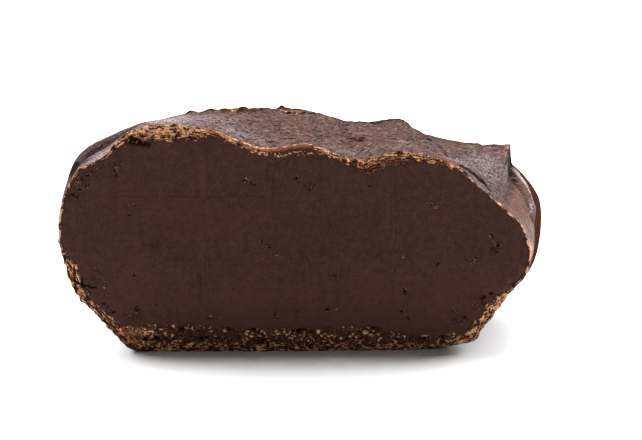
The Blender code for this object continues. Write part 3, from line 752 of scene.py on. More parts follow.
def back_marks(x, z, u, inside):
    """What the finish needs to know of places on the back cut, broken only along its rim and foot."""
    ragged = 1.6 + 0.8 * grain(x, z, 4.0, 61.0)
    rim = 1.0 - smooth(0.3 * ragged, ragged, inside)
    foot = 0.45 * (1.0 - smooth(4.0, 8.0, z + 2.0 * grain(x, z, 5.0, 62.0)))
    known = {
        "broken": np.maximum(0.9 * rim, foot),
        "tan": 0.36 + 0.12 * grain(x, z, 3.0, 63.0),
        "shine": 0.1,
        "way": u,
        "deep": inside,
    }
    return np.stack([known.get(mark, 0.0) + np.zeros(len(x)) for mark in MARKS], axis=-1)


def skin_marks(u, v):
    """What the finish needs to know of places on the skin."""
    pale = at_rim(RIM_PALE, u) * (1.05 + 0.25 * grain(u / 1.5, v, 1.0, 47.0))
    pale = np.maximum(pale, 0.5) + 0.14 * grain(u, 0.0, 3.0, 56.0)
    width = 0.2 + 0.4 * at_rim(RIM_BURR, u)
    rim = 1.0 - smooth(0.6 * width, width, v + 0.25 * grain(u, v, 1.4, 6.0))
    from_foot = np.minimum(u, RIGHT_FOOT - u)
    foot = 1.0 - smooth(2.0, 9.0, from_foot)
    loose = rim * smooth(0.45, 0.7, pale) * 0.5 * smooth(2.6, 4.6, from_foot)

    # Broken edges: of the flap, partly broken crumb and partly a highlight painted along its corner, under the
    # roll, in strips behind the rim and where the skin has cracked.
    edge = hump(u - FLAP_EDGE + 0.3, 0.24) * (0.45 + 0.35 * smooth(20.0, 32.0, v)) * smooth(3.0, 9.0, v)
    edge = np.maximum(edge, between(*ROLL, (3.0, 3.0), u) * (1.0 - smooth(0.5, 1.3, v)))
    strip = patches(STRIPS, u, v)
    cracked = patches(CRACKED, u, v) * smooth(0.0, 0.35, grain(u / 2.5, v, 1.2, 53.0))
    curled = hump(v - along(CURL_CRACK, u), 0.55) * between(137.0, 150.0, (1.5, 3.0), u)
    cracked = np.maximum(cracked, curled)
    broken = np.maximum.reduce([rim, edge, strip, cracked])
    tan = np.where(np.maximum(edge, strip) > rim, 0.66, pale)
    tan = np.where(cracked > 0.2, 0.45, tan)

    # Colour: redder where the skin is thin, paler where it has bloomed and where sheen and highlights are painted
    # on: the crown's sheen, the right ridge's highlight and the stripes that lift the left fold's shaded lip.
    lip, stripe = striped(u, v)
    behind = v - along(RED_BAND, u)
    band = between(212.0, 268.0, (2.0, 20.0), u) * smooth(-1.8, 2.2, behind + 1.4 * grain(u, v, 5.0, 59.0))
    # The right ridge's highlight, painted pale through the bloom mark.
    ridge = between(213.0, 226.0, (1.5, 5.0), u) * hump(behind + 3.7, 2.5) * (0.8 + 0.4 * grain(u, v, 2.4, 60.0))
    ruddy = patches(RUDDY, u, v) * (0.85 + 0.3 * grain(u, v, 1.8, 48.0))
    ruddy = np.maximum.reduce([ruddy, 0.42 * (lip - stripe), band])
    # Where glints of sheen are painted on: the right side and the left fold's lip.
    shine = np.maximum(between(214.0, 262.0, (3.0, 14.0), u), lip)
    bloom = np.maximum.reduce([patches(BLOOM_AND_SHEEN, u, v) * (1.0 - lip), 1.1 * stripe, 3.2 * ridge])

    # Painted shade: dark colour painted into the folds and their crevices, under the flap, along the feet where they
    # meet the floor, in the deepest hollows and as a scratch.
    crevice = hump(v - along(LEFT_FOLD, u) + 0.5, 0.7) * between(60.0, 97.0, (3.0, 8.0), u)
    scratch = hump(u - along(SCRATCH_BACKWARDS, v), 0.5) * smooth(11.0, 15.0, v)
    under_flap = between(FLAP_EDGE - 0.3, FLAP_FOOT + 0.8, (0.3, 0.8), u) * smooth(24.0, 31.0, v)
    dark = np.maximum.reduce([
        0.8 * foot,
        in_groove(LEFT, u, v),
        crevice,
        np.minimum(1.6 * in_groove(FLAP, u, v), 1.0),
        0.5 * in_groove(SEAM, u, v),
        0.65 * in_groove(CREASE, u, v),
        0.6 * scratch,
        0.8 * under_flap,
        patches(SHADED, u, v),
    ])
    even = 0.8 * np.maximum(between(ROLL[0], 200.0, (8.0, 8.0), u), between(40.0, 84.0, (4.0, 4.0), u))
    return np.stack([broken, tan, loose, shine, ruddy, dark, bloom, u, v, even], axis=-1)


# A cut of the slice: which row of the skin's grid goes round it, which way it faces along y, its relief, its
# marks, how many points its bottom edge has, and its zones of points, as filling() takes them.
Cut = namedtuple("Cut", "row facing depth marks bottom_count zones")
CUTS = (
    Cut(0, -1, front_depth, cut_marks, 200, (
        (0.24, 0.15, 99.0, 0.0, 1.0),
        (0.36, 0.2, 99.0, 1.0, 10.6),
        (0.38, 0.2, 4.0, 10.6, 99.0),
        (0.6, 4.0, 7.0, 10.6, 99.0),
        (1.1, 7.0, 99.0, 10.6, 99.0),
    )),
    Cut(-1, 1, back_depth, back_marks, 60, ((0.8, 0.3, 4.0, 0.0, 99.0), (2.2, 4.0, 99.0, 0.0, 99.0))),
)
BASE_ZONES = ((3.5, 1.5, 99.0, -99.0, 99.0),)
# How much darker the base is made, all over.
BASE_DARKER = 0.4
# The skin's grid: how far apart its stations are, and its rows before and behind the folds.
SPACING = 0.5
ROWS_BEFORE, ROWS_BEHIND = 22, 58


def bottom_edge(body, points, cut):
    """A cut's bottom edge, back from the right foot to the left one: which points, where, and their u."""
    share = np.linspace(0.0, 1.0, cut.bottom_count + 1)[1:-1]
    left, right = points[cut.row, 0, 0], points[cut.row, -1, 0]
    x = right + (left - right) * share
    off_floor = np.maximum(0.12 + 0.2 * grain(x, 0.0, 6.0, 15.0), 0.0)
    z = off_floor * between(0.0, 1.0, (0.06, 0.06), share) * (cut.facing < 0)
    u = RIGHT_FOOT + share * (ROUND - RIGHT_FOOT)
    no_gap = np.zeros_like(x)
    y = cut.facing * (DEPTH / 2 - cut.depth(x, z, u, no_gap))
    places = np.stack([x, y, z], axis=-1)
    return body.add(places, cut_marks(x, z, u, no_gap)), places, u


def fill_cut(body, cut, rim, places, rim_u):
    """Fills a cut inside its closed rim."""
    rim_flat = places[:, [0, 2]]
    inner = filling(rim_flat, cut.zones)
    if cut.facing < 0:
        inner = with_holes(inner)
    gaps, which = nearest(inner, tree_of(rim_flat))
    x, z = inner[:, 0], inner[:, 1]
    y = cut.facing * (DEPTH / 2 - cut.depth(x, z, rim_u[which], gaps))
    ids = body.add(np.stack([x, y, z], axis=-1), cut.marks(x, z, rim_u[which], gaps))
    fill(body, rim, rim_flat, ids, inner, CUT, cut.facing > 0)


def fine_slice():
    """The slice as one closed fine mesh."""
    u_line = stations(SPACING)
    v = rows_back(u_line, ROWS_BEFORE, ROWS_BEHIND)
    u = np.broadcast_to(u_line, v.shape)
    points = skin(u, v)
    body = Body()
    grid = body.add(points.reshape(-1, 3), skin_marks(u, v).reshape(-1, len(MARKS))).reshape(v.shape)
    quads = np.stack([grid[:-1, :-1], grid[:-1, 1:], grid[1:, 1:], grid[1:, :-1]], axis=-1)
    body.face(quads.reshape(-1, 4).tolist(), SKIN)

    edges = [bottom_edge(body, points, cut) for cut in CUTS]
    for cut, (edge, places, edge_u) in zip(CUTS, edges):
        rim = np.concatenate([grid[cut.row], edge])
        places = np.concatenate([points[cut.row], places])
        fill_cut(body, cut, rim, places, np.concatenate([u_line, edge_u]))

    # The base: round its edge from the left foot backwards, right, forwards and left again.
    front_edge, back_edge = edges[0][0], edges[1][0]
    rim = np.concatenate([grid[:, 0], back_edge[::-1], grid[::-1, -1], front_edge])
    rim_flat = np.concatenate(body.points)[rim][:, :2]
    inner = filling(rim_flat, BASE_ZONES)
    marks = np.zeros((len(inner), len(MARKS)))
    marks[:, MARKS.index("worn")] = BASE_DARKER
    ids = body.add(np.column_stack([inner, np.zeros(len(inner))]), marks)
    fill(body, rim, rim_flat, ids, inner, SKIN, True)
    return body


def kinds_of(body, marks):
    """Each face's finish. Thin dark skin has its own."""
    ruddy = marks[:, MARKS.index("ruddy")]
    found = []
    for face, kind in zip(body.faces, body.kinds):
        thin = sum(ruddy[i] for i in face) / len(face)
        if kind == SKIN and thin > THIN_FROM:
            kind = THIN_SKIN
        found.append(kind)
    return found


def mesh_of(body, name):
    """The finished mesh, in metres and in the row's frame."""
    points, marks = np.concatenate(body.points), np.concatenate(body.marks)
    points[:, 0] += SIDEWAYS
    used = sorted({i for face in body.faces for i in face})
    place_of = {old: new for new, old in enumerate(used)}
    body.faces = [[place_of[i] for i in face] for face in body.faces]
    points, marks = points[used], marks[used]
    data = bpy.data.meshes.new(name)
    data.from_pydata((points * MM).tolist(), [], body.faces)
    data.polygons.foreach_set("material_index", kinds_of(body, marks))
    for i, mark in enumerate(MARKS):
        layer = data.attributes.new(mark, "FLOAT", "POINT")
        layer.data.foreach_set("value", marks[:, i].astype(np.float32))
    data.update()
    data.shade_smooth()
    return data


# Finishes


def joined(tree, value, socket):
    """Links a socket to another one, or sets it to a constant."""
    if isinstance(value, bpy.types.NodeSocket):
        tree.links.new(value, socket)
    else:
        socket.default_value = value


def node(tree, kind, inputs, **settings):
    """A new node's outputs, with its settings made and its inputs linked or set."""
    made = tree.nodes.new(kind)
    for name, value in settings.items():
        setattr(made, name, value)
    for name, value in inputs.items():
        joined(tree, value, made.inputs[name])
    return made.outputs


def maths(tree, operation, a, b=0.0, clamp=False):
    return node(tree, "ShaderNodeMath", {0: a, 1: b}, operation=operation, use_clamp=clamp)[0]


def total(tree, first, *others):
    for other in others:
        first = maths(tree, "ADD", first, other)
    return first


def times(tree, a, b, clamp=False):
    return maths(tree, "MULTIPLY", a, b, clamp)


def greatest(tree, first, *others):
    for other in others:
        first = maths(tree, "MAXIMUM", first, other)
    return first


def vectors(tree, operation, a, b):
    """Two vectors worked together, or a vector scaled by a number."""
    second = "Scale" if operation == "SCALE" else 1
    return node(tree, "ShaderNodeVectorMath", {0: a, second: b}, operation=operation)["Vector"]


def spread(tree, value, low, high, to_low=0.0, to_high=1.0):
    """A value's range from low to high, made another range, smoothly."""
    inputs = {"Value": value, "From Min": low, "From Max": high, "To Min": to_low, "To Max": to_high}
    return node(tree, "ShaderNodeMapRange", inputs, interpolation_type="SMOOTHSTEP")["Result"]


def mixed(tree, share, a, b):
    return node(tree, "ShaderNodeMix", {"Factor": share, "A": a, "B": b}, data_type="RGBA")["Result"]


def ramp(tree, value, *stops):
    """Colours along a value's range, each stop a place and a colour."""
    made = tree.nodes.new("ShaderNodeValToRGB")
    joined(tree, value, made.inputs["Fac"])
    elements = made.color_ramp.elements
    while len(elements) < len(stops):
        elements.new(0.5)
    for element, (place, colour) in zip(elements, stops):
        element.position = place
        element.color = (*colour, 1.0)
    return made.outputs["Color"]


def shaded(colour, share):
    """A colour made darker or lighter."""
    return tuple(share * c for c in colour)


def mark_of(tree, name):
    return node(tree, "ShaderNodeAttribute", {}, attribute_name=name)["Fac"]


def millimetres(tree, stretch=(1.0, 1.0, 1.0)):
    """Object coordinates in millimetres, divided by a stretch along each axis."""
    place = node(tree, "ShaderNodeTexCoord", {})["Object"]
    return vectors(tree, "MULTIPLY", place, [1000.0 / s for s in stretch])


def noise_at(tree, place, size, detail=2.0, roughness=0.5):
    """Noise whose lumps are of one size, in millimetres."""
    inputs = {"Vector": place, "Scale": 1.0 / size, "Detail": detail, "Roughness": roughness}
    return node(tree, "ShaderNodeTexNoise", inputs)


def clouds(tree, *where_and_size):
    """Noise from 0 to 1."""
    return noise_at(tree, *where_and_size)["Fac"]


def cells(tree, place, size):
    """Grains: the distance to the nearest one's middle, and its own colour."""
    return node(tree, "ShaderNodeTexVoronoi", {"Vector": place, "Scale": 1.0 / size})


def raised(tree, height, distance, *below):
    """A bump whose height of 1 stands so many metres, over another bump or none."""
    inputs = {"Distance": distance, "Height": height}
    inputs.update({"Normal": normal for normal in below})
    return node(tree, "ShaderNodeBump", inputs)["Normal"]


def blank(name):
    """A material, its tree and its shader's inputs."""
    material = bpy.data.materials.new(name)
    material.use_nodes = True
    tree = material.node_tree
    return material, tree, tree.nodes["Principled BSDF"].inputs


def along_rim(tree):
    """Places measured along the rim and away from it, drawn out along the rim."""
    inputs = {"X": maths(tree, "DIVIDE", mark_of(tree, "way"), 4.0), "Y": mark_of(tree, "deep")}
    return node(tree, "ShaderNodeCombineXYZ", inputs)[0]


def crumb_colour(tree, place, finish):
    """The colour of broken fudge, from dark gaps painted with their shade to dry tan grains, drawn out along the rim.
    """
    grain_tint = node(tree, "ShaderNodeSeparateColor", {"Color": cells(tree, place, 0.4)["Color"]})[0]
    speckle = total(
        tree,
        times(tree, grain_tint, 0.36),
        times(tree, clouds(tree, along_rim(tree), 0.44, 3.0), 2.6),
        times(tree, clouds(tree, place, 0.5, 3.0), 1.34),
        times(tree, clouds(tree, place, 2.4, 2.0), 0.9),
    )
    contrast = spread(tree, mark_of(tree, "even"), 0.0, 1.0, 1.2, 0.3)
    speckle = times(tree, maths(tree, "SUBTRACT", speckle, 2.6), contrast)
    shade = total(tree, mark_of(tree, "tan"), speckle)
    return ramp(tree, shade, (0.0, finish.crumb_dark_and_shade), (0.12, finish.cut_colour), (0.32, finish.cut_colour),
                (0.52, finish.crumb_warm), (0.86, finish.crumb_light))


def crumb_relief(tree, place, ragged):
    """The height of broken fudge: strands along the rim and grains."""
    strands = times(tree, clouds(tree, along_rim(tree), 0.7, 2.0), 0.8)
    grains = times(tree, clouds(tree, place, 0.5, 4.0, 0.7), 0.5)
    return times(tree, total(tree, strands, grains), ragged)


def frayed(tree, place):
    """0 to 1: broken fudge, with a dusty edge."""
    dust = times(tree, clouds(tree, place, 0.55, 3.0, 0.6), 1.2)
    return spread(tree, total(tree, mark_of(tree, "broken"), dust), 0.9, 1.2)


def cut_finish(finish):
    """The matt cut face: finely mottled, dragged into faint lines by the knife here and there."""
    material, tree, shader = blank("cut fudge")
    place = millimetres(tree)
    fine = clouds(tree, place, 0.5, 3.0, 0.6)
    medium = clouds(tree, place, 2.2, 4.0, 0.62)
    broad = clouds(tree, place, 12.0, 4.0, 0.6)
    drag = clouds(tree, millimetres(tree, (1.0, 1.0, 14.0)), 0.8, 3.0)
    dragged = times(tree, maths(tree, "SUBTRACT", drag, 0.5), mark_of(tree, "shine"))
    even, gap = tuple(finish.cut_colour), (*finish.crumb_dark_and_shade, 1.0)

    # The plain cut, mottled, painted a little paler low down to lift the shade there, and reddened in places.
    height = node(tree, "ShaderNodeSeparateXYZ", {0: place})["Z"]
    shade = total(tree, fine, times(tree, medium, 0.45), times(tree, broad, 0.2), -0.325)
    shade = total(tree, shade, times(tree, dragged, 1.1), spread(tree, height, 8.0, 40.0, 0.125, 0.0))
    colour = ramp(tree, shade, (0.36, shaded(even, 0.5)), (0.5, even), (0.64, shaded(even, 1.62)))
    mottled = spread(tree, clouds(tree, place, 2.4, 4.0, 0.6), 0.44, 0.62)
    reddened = times(tree, times(tree, mark_of(tree, "ruddy"), mottled), 1.4, True)
    redder = (even[0] * 1.35, even[1] * 0.85, even[2] * 0.9, 1.0)
    colour = mixed(tree, reddened, colour, redder)

    # The lip that rolls over the rim, painted paler along its top where light falls and darker below; the pores,
    # painted as dark dots of shade; the broken rim; and the dark lines and smears, with painted shade in the crack
    # and the scratch.
    warm = tuple(finish.crumb_warm)
    rolled = total(tree, spread(tree, mark_of(tree, "deep"), 0.0, 1.6, 0.58, 0.0), times(tree, medium, 0.45))
    rolled = ramp(tree, rolled, (0.25, even), (0.55, shaded(warm, 0.5)), (0.85, warm))
    colour = mixed(tree, mark_of(tree, "bloom"), colour, rolled)
    pore = times(tree, spread(tree, cells(tree, place, 2.2)["Distance"], 0.07, 0.17, 1.0, 0.0), 0.8)
    colour = mixed(tree, pore, colour, gap)
    ragged = frayed(tree, place)
    colour = mixed(tree, ragged, colour, crumb_colour(tree, place, finish))
    colour = mixed(tree, times(tree, mark_of(tree, "worn"), 0.8), colour, gap)

    joined(tree, colour, shader["Base Color"])
    joined(tree, spread(tree, fine, 0.2, 0.8, 0.62, 0.8), shader["Roughness"])
    shader["Specular IOR Level"].default_value = finish.cut_gloss
    relief = total(tree, times(tree, fine, 0.5), times(tree, dragged, 1.4))
    relief = raised(tree, relief, 0.00014)
    joined(tree, raised(tree, crumb_relief(tree, place, ragged), 0.001, relief), shader["Normal"])
    return material


def skin_finish(finish, name, gloss):
    """The satin skin: wrinkled greyish brown, redder where it is thin, paler where it has bloomed and where sheen,
    highlights and glints are painted on, darker where shade is painted in.
    """
    material, tree, shader = blank(name)
    place = millimetres(tree)
    drift = vectors(tree, "SCALE", noise_at(tree, place, 14.0)["Color"], 3.0)
    squeezed = vectors(tree, "MULTIPLY", vectors(tree, "ADD", place, drift), (0.5, 0.58, 0.5))
    wavy = clouds(tree, squeezed, 1.6, 2.0, 0.5)
    ridge = spread(tree, maths(tree, "ABSOLUTE", maths(tree, "SUBTRACT", wavy, 0.5)), 0.0, 0.07, 1.0, 0.0)
    broad = clouds(tree, place, 8.0, 4.0, 0.6)
    fine = clouds(tree, place, 0.6, 4.0, 0.65)
    bloom_and_sheen_here, ruddy, painted_sheen, worn = (mark_of(tree, mark) for mark in ("bloom", "ruddy", "shine", "worn"))
    even, thin = tuple(finish.skin_colour), tuple(finish.crest_colour)
    dark = shaded(even, 0.3)

    # The plain skin, and paler specks painted on as glints of sheen on the right side and the left fold's lip.
    shade = total(tree, times(tree, broad, 0.14), times(tree, fine, 0.5), times(tree, wavy, 0.25))
    shade = total(tree, shade, times(tree, ridge, 0.1), 0.012)
    colour = ramp(tree, shade, (0.36, dark), (0.5, even), (0.62, shaded(even, 1.8)))
    glints = ramp(tree, fine, (0.35, even), (0.65, shaded(even, 2.15)))
    colour = mixed(tree, times(tree, painted_sheen, 0.7), colour, glints)

    # Bloom and painted sheen: fine pale specks on darker skin, and frost where it is thickest, which also paints
    # the highlights of the crown and the right ridge.
    colour = mixed(tree, times(tree, bloom_and_sheen_here, 0.5, True), colour, (*dark, 1.0))
    bloom = times(tree, bloom_and_sheen_here, spread(tree, fine, 0.42, 0.58, 0.02, 1.45))
    colour = mixed(tree, bloom, colour, (*finish.bloom_and_sheen_colour, 1.0))
    frost_and_highlight = times(tree, spread(tree, bloom, 1.0, 2.6), 0.8)
    colour = mixed(tree, frost_and_highlight, colour, (*finish.frost_and_highlight_colour, 1.0))

    # Thin red skin; shade painted dark into the folds, under the flap and along the feet; and broken edges.
    thinner = ramp(tree, fine, (0.35, shaded(thin, 0.45)), (0.5, thin), (0.66, shaded(thin, 2.2)))
    colour = mixed(tree, times(tree, ruddy, 1.8, True), colour, thinner)
    colour = mixed(tree, worn, colour, (*finish.crumb_dark_and_shade, 1.0))
    ragged = frayed(tree, place)
    colour = mixed(tree, ragged, colour, crumb_colour(tree, place, finish))

    joined(tree, colour, shader["Base Color"])
    rougher = greatest(tree, ragged, worn, times(tree, ruddy, 1.3))
    dull = spread(tree, broad, 0.3, 0.7, 0.34, 0.5)
    joined(tree, maths(tree, "ADD", dull, times(tree, rougher, 0.5), True), shader["Roughness"])
    shader["Specular IOR Level"].default_value = gloss
    height = total(tree, times(tree, ridge, 0.8), times(tree, wavy, 1.9))
    height = times(tree, height, spread(tree, painted_sheen, 0.0, 1.0, 1.0, 0.2))
    rough = times(tree, fine, spread(tree, bloom_and_sheen_here, 0.0, 1.0, 1.0, 3.0))
    joined(tree, raised(tree, rough, 0.0002, raised(tree, height, 0.0022)), shader["Normal"])
    return material


def crumb_finish(finish):
    """Loose crumbs, each with its own tint."""
    material, tree, shader = blank("loose crumb")
    place = millimetres(tree)
    shade = total(tree, times(tree, mark_of(tree, "tint"), 0.75), times(tree, clouds(tree, place, 0.6, 3.0), 0.3))
    colour = ramp(tree, shade, (0.15, finish.crumb_dark_and_shade), (0.45, finish.crumb_warm), (0.7, finish.crumb_warm),
                  (0.95, finish.crumb_light))
    joined(tree, colour, shader["Base Color"])
    shader["Roughness"].default_value = 0.8
    shader["Specular IOR Level"].default_value = 0.2
    joined(tree, raised(tree, clouds(tree, place, 0.4, 3.0), 0.0001), shader["Normal"])
    return material


# Loose crumbs


def scatter_tree(name, material):
    """A node tree that scatters crumbs over a mesh where a mark is strong."""
    tree = bpy.data.node_groups.new(name, "GeometryNodeTree")
    for way in ("INPUT", "OUTPUT"):
        tree.interface.new_socket("Geometry", in_out=way, socket_type="NodeSocketGeometry")
    for label, kind in (("Where", "String"), ("Density", "Float"), ("Least", "Float"), ("Most", "Float"),
                        ("Detail", "Int"), ("Seed", "Int")):
        tree.interface.new_socket(label, in_out="INPUT", socket_type="NodeSocket" + kind)
    given = tree.nodes.new("NodeGroupInput").outputs
    result = tree.nodes.new("NodeGroupOutput").inputs

    def made(kind, inputs, **settings):
        return node(tree, "GeometryNode" + kind, inputs, **settings)

    def drawn(kind, inputs):
        return node(tree, "FunctionNodeRandomValue", inputs, data_type=kind)

    # Points, thicker where the mark is stronger.
    weight = made("InputNamedAttribute", {"Name": given["Where"]}, data_type="FLOAT")["Attribute"]
    density = times(tree, weight, given["Density"])
    spots = made("DistributePointsOnFaces", {"Mesh": given["Geometry"], "Density": density, "Seed": given["Seed"]})

    # A ball on each, of its own size, proportions, turn and tint.
    ball = made("MeshIcoSphere", {"Radius": 1.0, "Subdivisions": given["Detail"]})
    size = drawn("FLOAT", {2: given["Least"], 3: given["Most"], "Seed": given["Seed"]})[1]
    proportions = drawn("FLOAT_VECTOR", {0: (0.7, 0.4, 0.3), 1: (2.1, 1.0, 0.7)})[0]
    placed = made("InstanceOnPoints", {
        "Points": spots["Points"],
        "Instance": ball["Mesh"],
        "Rotation": drawn("FLOAT_VECTOR", {1: (6.283, 6.283, 6.283)})[0],
        "Scale": vectors(tree, "SCALE", proportions, size),
    })
    tinted = made("StoreNamedAttribute", {
        "Geometry": placed["Instances"],
        "Name": "tint",
        "Value": drawn("FLOAT", {"Seed": 5})[1],
    }, data_type="FLOAT", domain="INSTANCE")

    # Each made a real mesh and dented.
    real = made("RealizeInstances", {"Geometry": tinted["Geometry"]})
    dents = node(tree, "ShaderNodeTexNoise", {"Scale": 1900.0, "Detail": 1.0})["Color"]
    dents = vectors(tree, "SUBTRACT", dents, (0.5, 0.5, 0.5))
    offset = vectors(tree, "SCALE", dents, given["Most"])
    dented = made("SetPosition", {"Geometry": real["Geometry"], "Offset": offset})
    finished = made("SetMaterial", {"Geometry": dented["Geometry"], "Material": material})
    joined(tree, finished["Geometry"], result[0])
    return tree


def scatter(name, tree, source, inputs):
    """Crumbs over the slice as a plain mesh of their own."""
    carrier = added(name + "_carrier", source.data)
    modifier = carrier.modifiers.new("crumbs", "NODES")
    modifier.node_group = tree
    named = {item.name: item.identifier for item in tree.interface.items_tree if item.in_out == "INPUT"}
    for label, value in inputs.items():
        modifier[named[label]] = value
    graph = bpy.context.evaluated_depsgraph_get()
    data = bpy.data.meshes.new_from_object(carrier.evaluated_get(graph))
    bpy.data.objects.remove(carrier)
    data.name = name
    piece = added(name, data)
    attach(piece, "root")


def added(name, data):
    """A new object in the scene."""
    thing = bpy.data.objects.new(name, data)
    bpy.context.scene.collection.objects.link(thing)
    return thing


# Settings


def colour(name, description, default):
    return FloatVectorProperty(name=name, description=description, default=default, subtype="COLOR", size=3,
                               min=0.0, max=1.0)


def level(name, description, default):
    return FloatProperty(name=name, description=description, default=default)


def length(name, description, default):
    return FloatProperty(name=name, description=description, default=default, unit="LENGTH", precision=5)


def power(name, description, default):
    return FloatProperty(name=name, description=description, default=default, unit="POWER")


class FudgeFinish(bpy.types.PropertyGroup):
    """Colours and gloss of the fudge"""

    cut_colour: colour("Cut", "Colour of the cut faces", (0.0295, 0.0112, 0.0073))
    skin_colour: colour("Skin", "Colour of the skin", (0.067, 0.027, 0.0175))
    crest_colour: colour("Crest", "Colour of the skin where it is thin and worn", (0.034, 0.0132, 0.0084))
    # Bloom also paints sheen, and frost the highlights of the crown and the right ridge.
    bloom_and_sheen_colour: colour("Bloom", "Colour of the skin where it has bloomed", (0.192, 0.146, 0.150))
    frost_and_highlight_colour: colour("Frost", "Colour of the skin where it has bloomed most", (0.46, 0.345, 0.33))
    # The darkest crumb colour, which also paints the shade in folds, hollows, holes, pores, gaps and lines.
    crumb_dark_and_shade: colour("Crumb gaps", "Darkest colour of broken fudge", (0.012, 0.005, 0.0035))
    crumb_warm: colour("Crumbs", "Usual colour of broken fudge", (0.30, 0.106, 0.044))
    crumb_light: colour("Dry crumbs", "Lightest colour of broken fudge", (0.76, 0.42, 0.22))
    cut_gloss: level("Cut gloss", "Specular level of the cut faces", 0.1)
    skin_gloss: level("Skin gloss", "Specular level of the skin", 0.066)
    thin_gloss: level("Thin gloss", "Specular level of thin dark skin", 0.0)


class FudgeCrumbs(bpy.types.PropertyGroup):
    """Amounts and sizes of loose crumbs"""

    rim_density: level("Rim crumbs", "Small crumbs for each square metre of broken rim", 1.2e6)
    lump_share: level("Share of lumps", "Large crumbs for each small one", 0.1)
    crumb_least: length("Least crumb", "Radius of the smallest small crumb", 0.00008)
    crumb_most: length("Largest crumb", "Radius of the largest small crumb", 0.00024)
    lump_least: length("Least lump", "Radius of the smallest large crumb", 0.0002)
    lump_most: length("Largest lump", "Radius of the largest large crumb", 0.00036)
    seed: IntProperty(name="Seed", description="Another seed scatters the crumbs another way", default=3)


class FudgeStage(bpy.types.PropertyGroup):
    """Camera, floor and light"""

    distance: FloatProperty(name="Distance", description="From the camera to the slice", default=0.62, unit="LENGTH")
    elevation: FloatProperty(name="Elevation", description="How high the camera stands, as an angle",
                             default=math.radians(18.0), unit="ROTATION")
    floor_colour: colour("Floor", "Colour of the floor", (0.92, 0.92, 0.92))
    front_level: level("Low front", "Brightness of the surroundings low down in front", 1.6)
    back_level: level("Surroundings", "Brightness of the surroundings everywhere", 0.1)
    overhead: power("Overhead", "Power of the light overhead", 8.0)
    behind: power("Behind", "Power of the light above and behind", 14.0)
    far: power("Far behind", "Power of the light far behind", 28.0)
    left: power("Left", "Power of the light behind on the left", 42.0)
    right: power("Right", "Power of the light behind on the right", 32.0)


class FUDGE_OT_slice(bpy.types.Operator):
    """Make the slice of fudge"""

    bl_idname = "fudge.slice"
    bl_label = "Slice"

    def execute(self, context):
        piece = added("fudge_slice", mesh_of(fine_slice(), "fudge_slice"))
        finish = context.scene.fudge_finish
        piece.data.materials.append(cut_finish(finish))
        piece.data.materials.append(skin_finish(finish, "fudge skin", finish.skin_gloss))
        piece.data.materials.append(skin_finish(finish, "thin fudge skin", finish.thin_gloss))
        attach(piece, "root")
        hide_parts("fudge")
        return {"FINISHED"}


class FUDGE_OT_crumbs(bpy.types.Operator):
    """Scatter the loose crumbs over the broken rim"""

    bl_idname = "fudge.crumbs"
    bl_label = "Crumbs"

    def execute(self, context):
        crumbs = context.scene.fudge_crumbs
        tree = scatter_tree("crumb scatter", crumb_finish(context.scene.fudge_finish))
        for name, density, least, most, detail, seed in (
            ("rim_crumbs", crumbs.rim_density, crumbs.crumb_least, crumbs.crumb_most, 2, crumbs.seed),
            ("crumb_lumps", crumbs.lump_share * crumbs.rim_density, crumbs.lump_least, crumbs.lump_most, 3,
             crumbs.seed + 1),
        ):
            scatter(name, tree, bpy.data.objects["fudge_slice"], {
                "Where": "loose", "Density": density, "Least": least, "Most": most, "Detail": detail, "Seed": seed,
            })
        return {"FINISHED"}


# The lights: which setting holds the power, where each is, and how wide and high. All aim at the origin.
LIGHTS = (
    ("overhead", (0.0, 0.14, 1.2), (1.1, 0.22)),
    ("behind", (0.0, 0.55, 1.2), (1.1, 0.58)),
    ("far", (0.0, 1.15, 1.0), (1.3, 0.5)),
    ("left", (-1.0, 0.55, 0.95), (0.9, 0.9)),
    ("right", (1.0, 0.6, 0.85), (0.9, 0.9)),
)
FLOOR_HALF = 6.0
# What the camera looks at, and its lens.
AIM = Vector((0.00503, -0.022, 0.0448))
LENS, SENSOR = 110.0, 36.0
NEAREST = 0.05
WHITE = (1.0, 1.0, 1.0, 1.0)


def lay_floor(stage):
    data = bpy.data.meshes.new("floor")
    corners = [(-FLOOR_HALF, -FLOOR_HALF, 0), (FLOOR_HALF, -FLOOR_HALF, 0), (FLOOR_HALF, FLOOR_HALF, 0),
               (-FLOOR_HALF, FLOOR_HALF, 0)]
    data.from_pydata(corners, [], [(0, 1, 2, 3)])
    material, _, shader = blank("white floor")
    shader["Base Color"].default_value = (*stage.floor_colour, 1.0)
    shader["Roughness"].default_value = 1.0
    shader["Specular IOR Level"].default_value = 0.0
    data.materials.append(material)
    added("floor", data)


def hang_lights(stage):
    for name, place, size in LIGHTS:
        data = bpy.data.lights.new(name, "AREA")
        data.shape = "RECTANGLE"
        data.size, data.size_y = size
        data.energy = getattr(stage, name)
        light = added(name, data)
        light.location = place
        light.rotation_euler = Vector(place).to_track_quat("Z", "Y").to_euler()


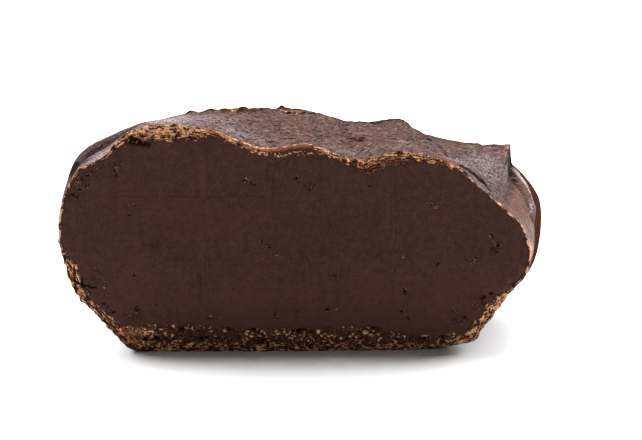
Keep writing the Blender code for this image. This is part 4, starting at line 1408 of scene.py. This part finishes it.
def light_surroundings(stage):
    """Plain white all round, brighter low down in front, which lights the front cut."""
    world = bpy.data.worlds.new("studio")
    world.use_nodes = True
    tree = world.node_tree
    background = tree.nodes["Background"].inputs
    towards = node(tree, "ShaderNodeSeparateXYZ", {0: node(tree, "ShaderNodeTexCoord", {})["Generated"]})
    low = spread(tree, towards["Z"], 0.0, 0.17, stage.front_level, 0.0)
    ahead = spread(tree, towards["Y"], -0.3, 0.3, 1.0, 0.0)
    joined(tree, total(tree, times(tree, low, ahead), stage.back_level), background["Strength"])
    background["Color"].default_value = WHITE
    bpy.context.scene.world = world
    bpy.context.scene.view_settings.view_transform = "Standard"


def set_camera(stage):
    data = bpy.data.cameras.new("camera")
    data.lens, data.sensor_width, data.clip_start = LENS, SENSOR, NEAREST
    camera = added("camera", data)
    back = Vector((0.0, -math.cos(stage.elevation), math.sin(stage.elevation)))
    camera.location = AIM + back * stage.distance
    camera.rotation_euler = (math.pi / 2 - stage.elevation, 0.0, 0.0)
    bpy.context.scene.camera = camera


class FUDGE_OT_stage(bpy.types.Operator):
    """Set up the floor, the light and the camera"""

    bl_idname = "fudge.stage"
    bl_label = "Stage"

    def execute(self, context):
        for make in (lay_floor, hang_lights, light_surroundings, set_camera):
            make(context.scene.fudge_stage)
        return {"FINISHED"}


class FUDGE_PT_panel(bpy.types.Panel):
    """Shows a button for each step: the slice, its crumbs and the stage."""

    bl_idname = "FUDGE_PT_panel"
    bl_label = "Chocolate fudge"
    bl_space_type = "VIEW_3D"
    bl_region_type = "UI"
    bl_category = "Fudge"

    def draw(self, context):
        for name in STEPS:
            self.layout.operator("fudge." + name)


STEPS = ("slice", "crumbs", "stage")
SETTINGS = {"fudge_finish": FudgeFinish, "fudge_crumbs": FudgeCrumbs, "fudge_stage": FudgeStage}
CLASSES = (*SETTINGS.values(), FUDGE_OT_slice, FUDGE_OT_crumbs, FUDGE_OT_stage, FUDGE_PT_panel)


def register():
    for each in CLASSES:
        bpy.utils.register_class(each)
    for name, group in SETTINGS.items():
        setattr(bpy.types.Scene, name, PointerProperty(type=group))


def unregister():
    for name in SETTINGS:
        delattr(bpy.types.Scene, name)
    for each in reversed(CLASSES):
        bpy.utils.unregister_class(each)


def main():
    register()
    for name in STEPS:
        getattr(bpy.ops.fudge, name)()


if __name__ == "__main__":
    main()
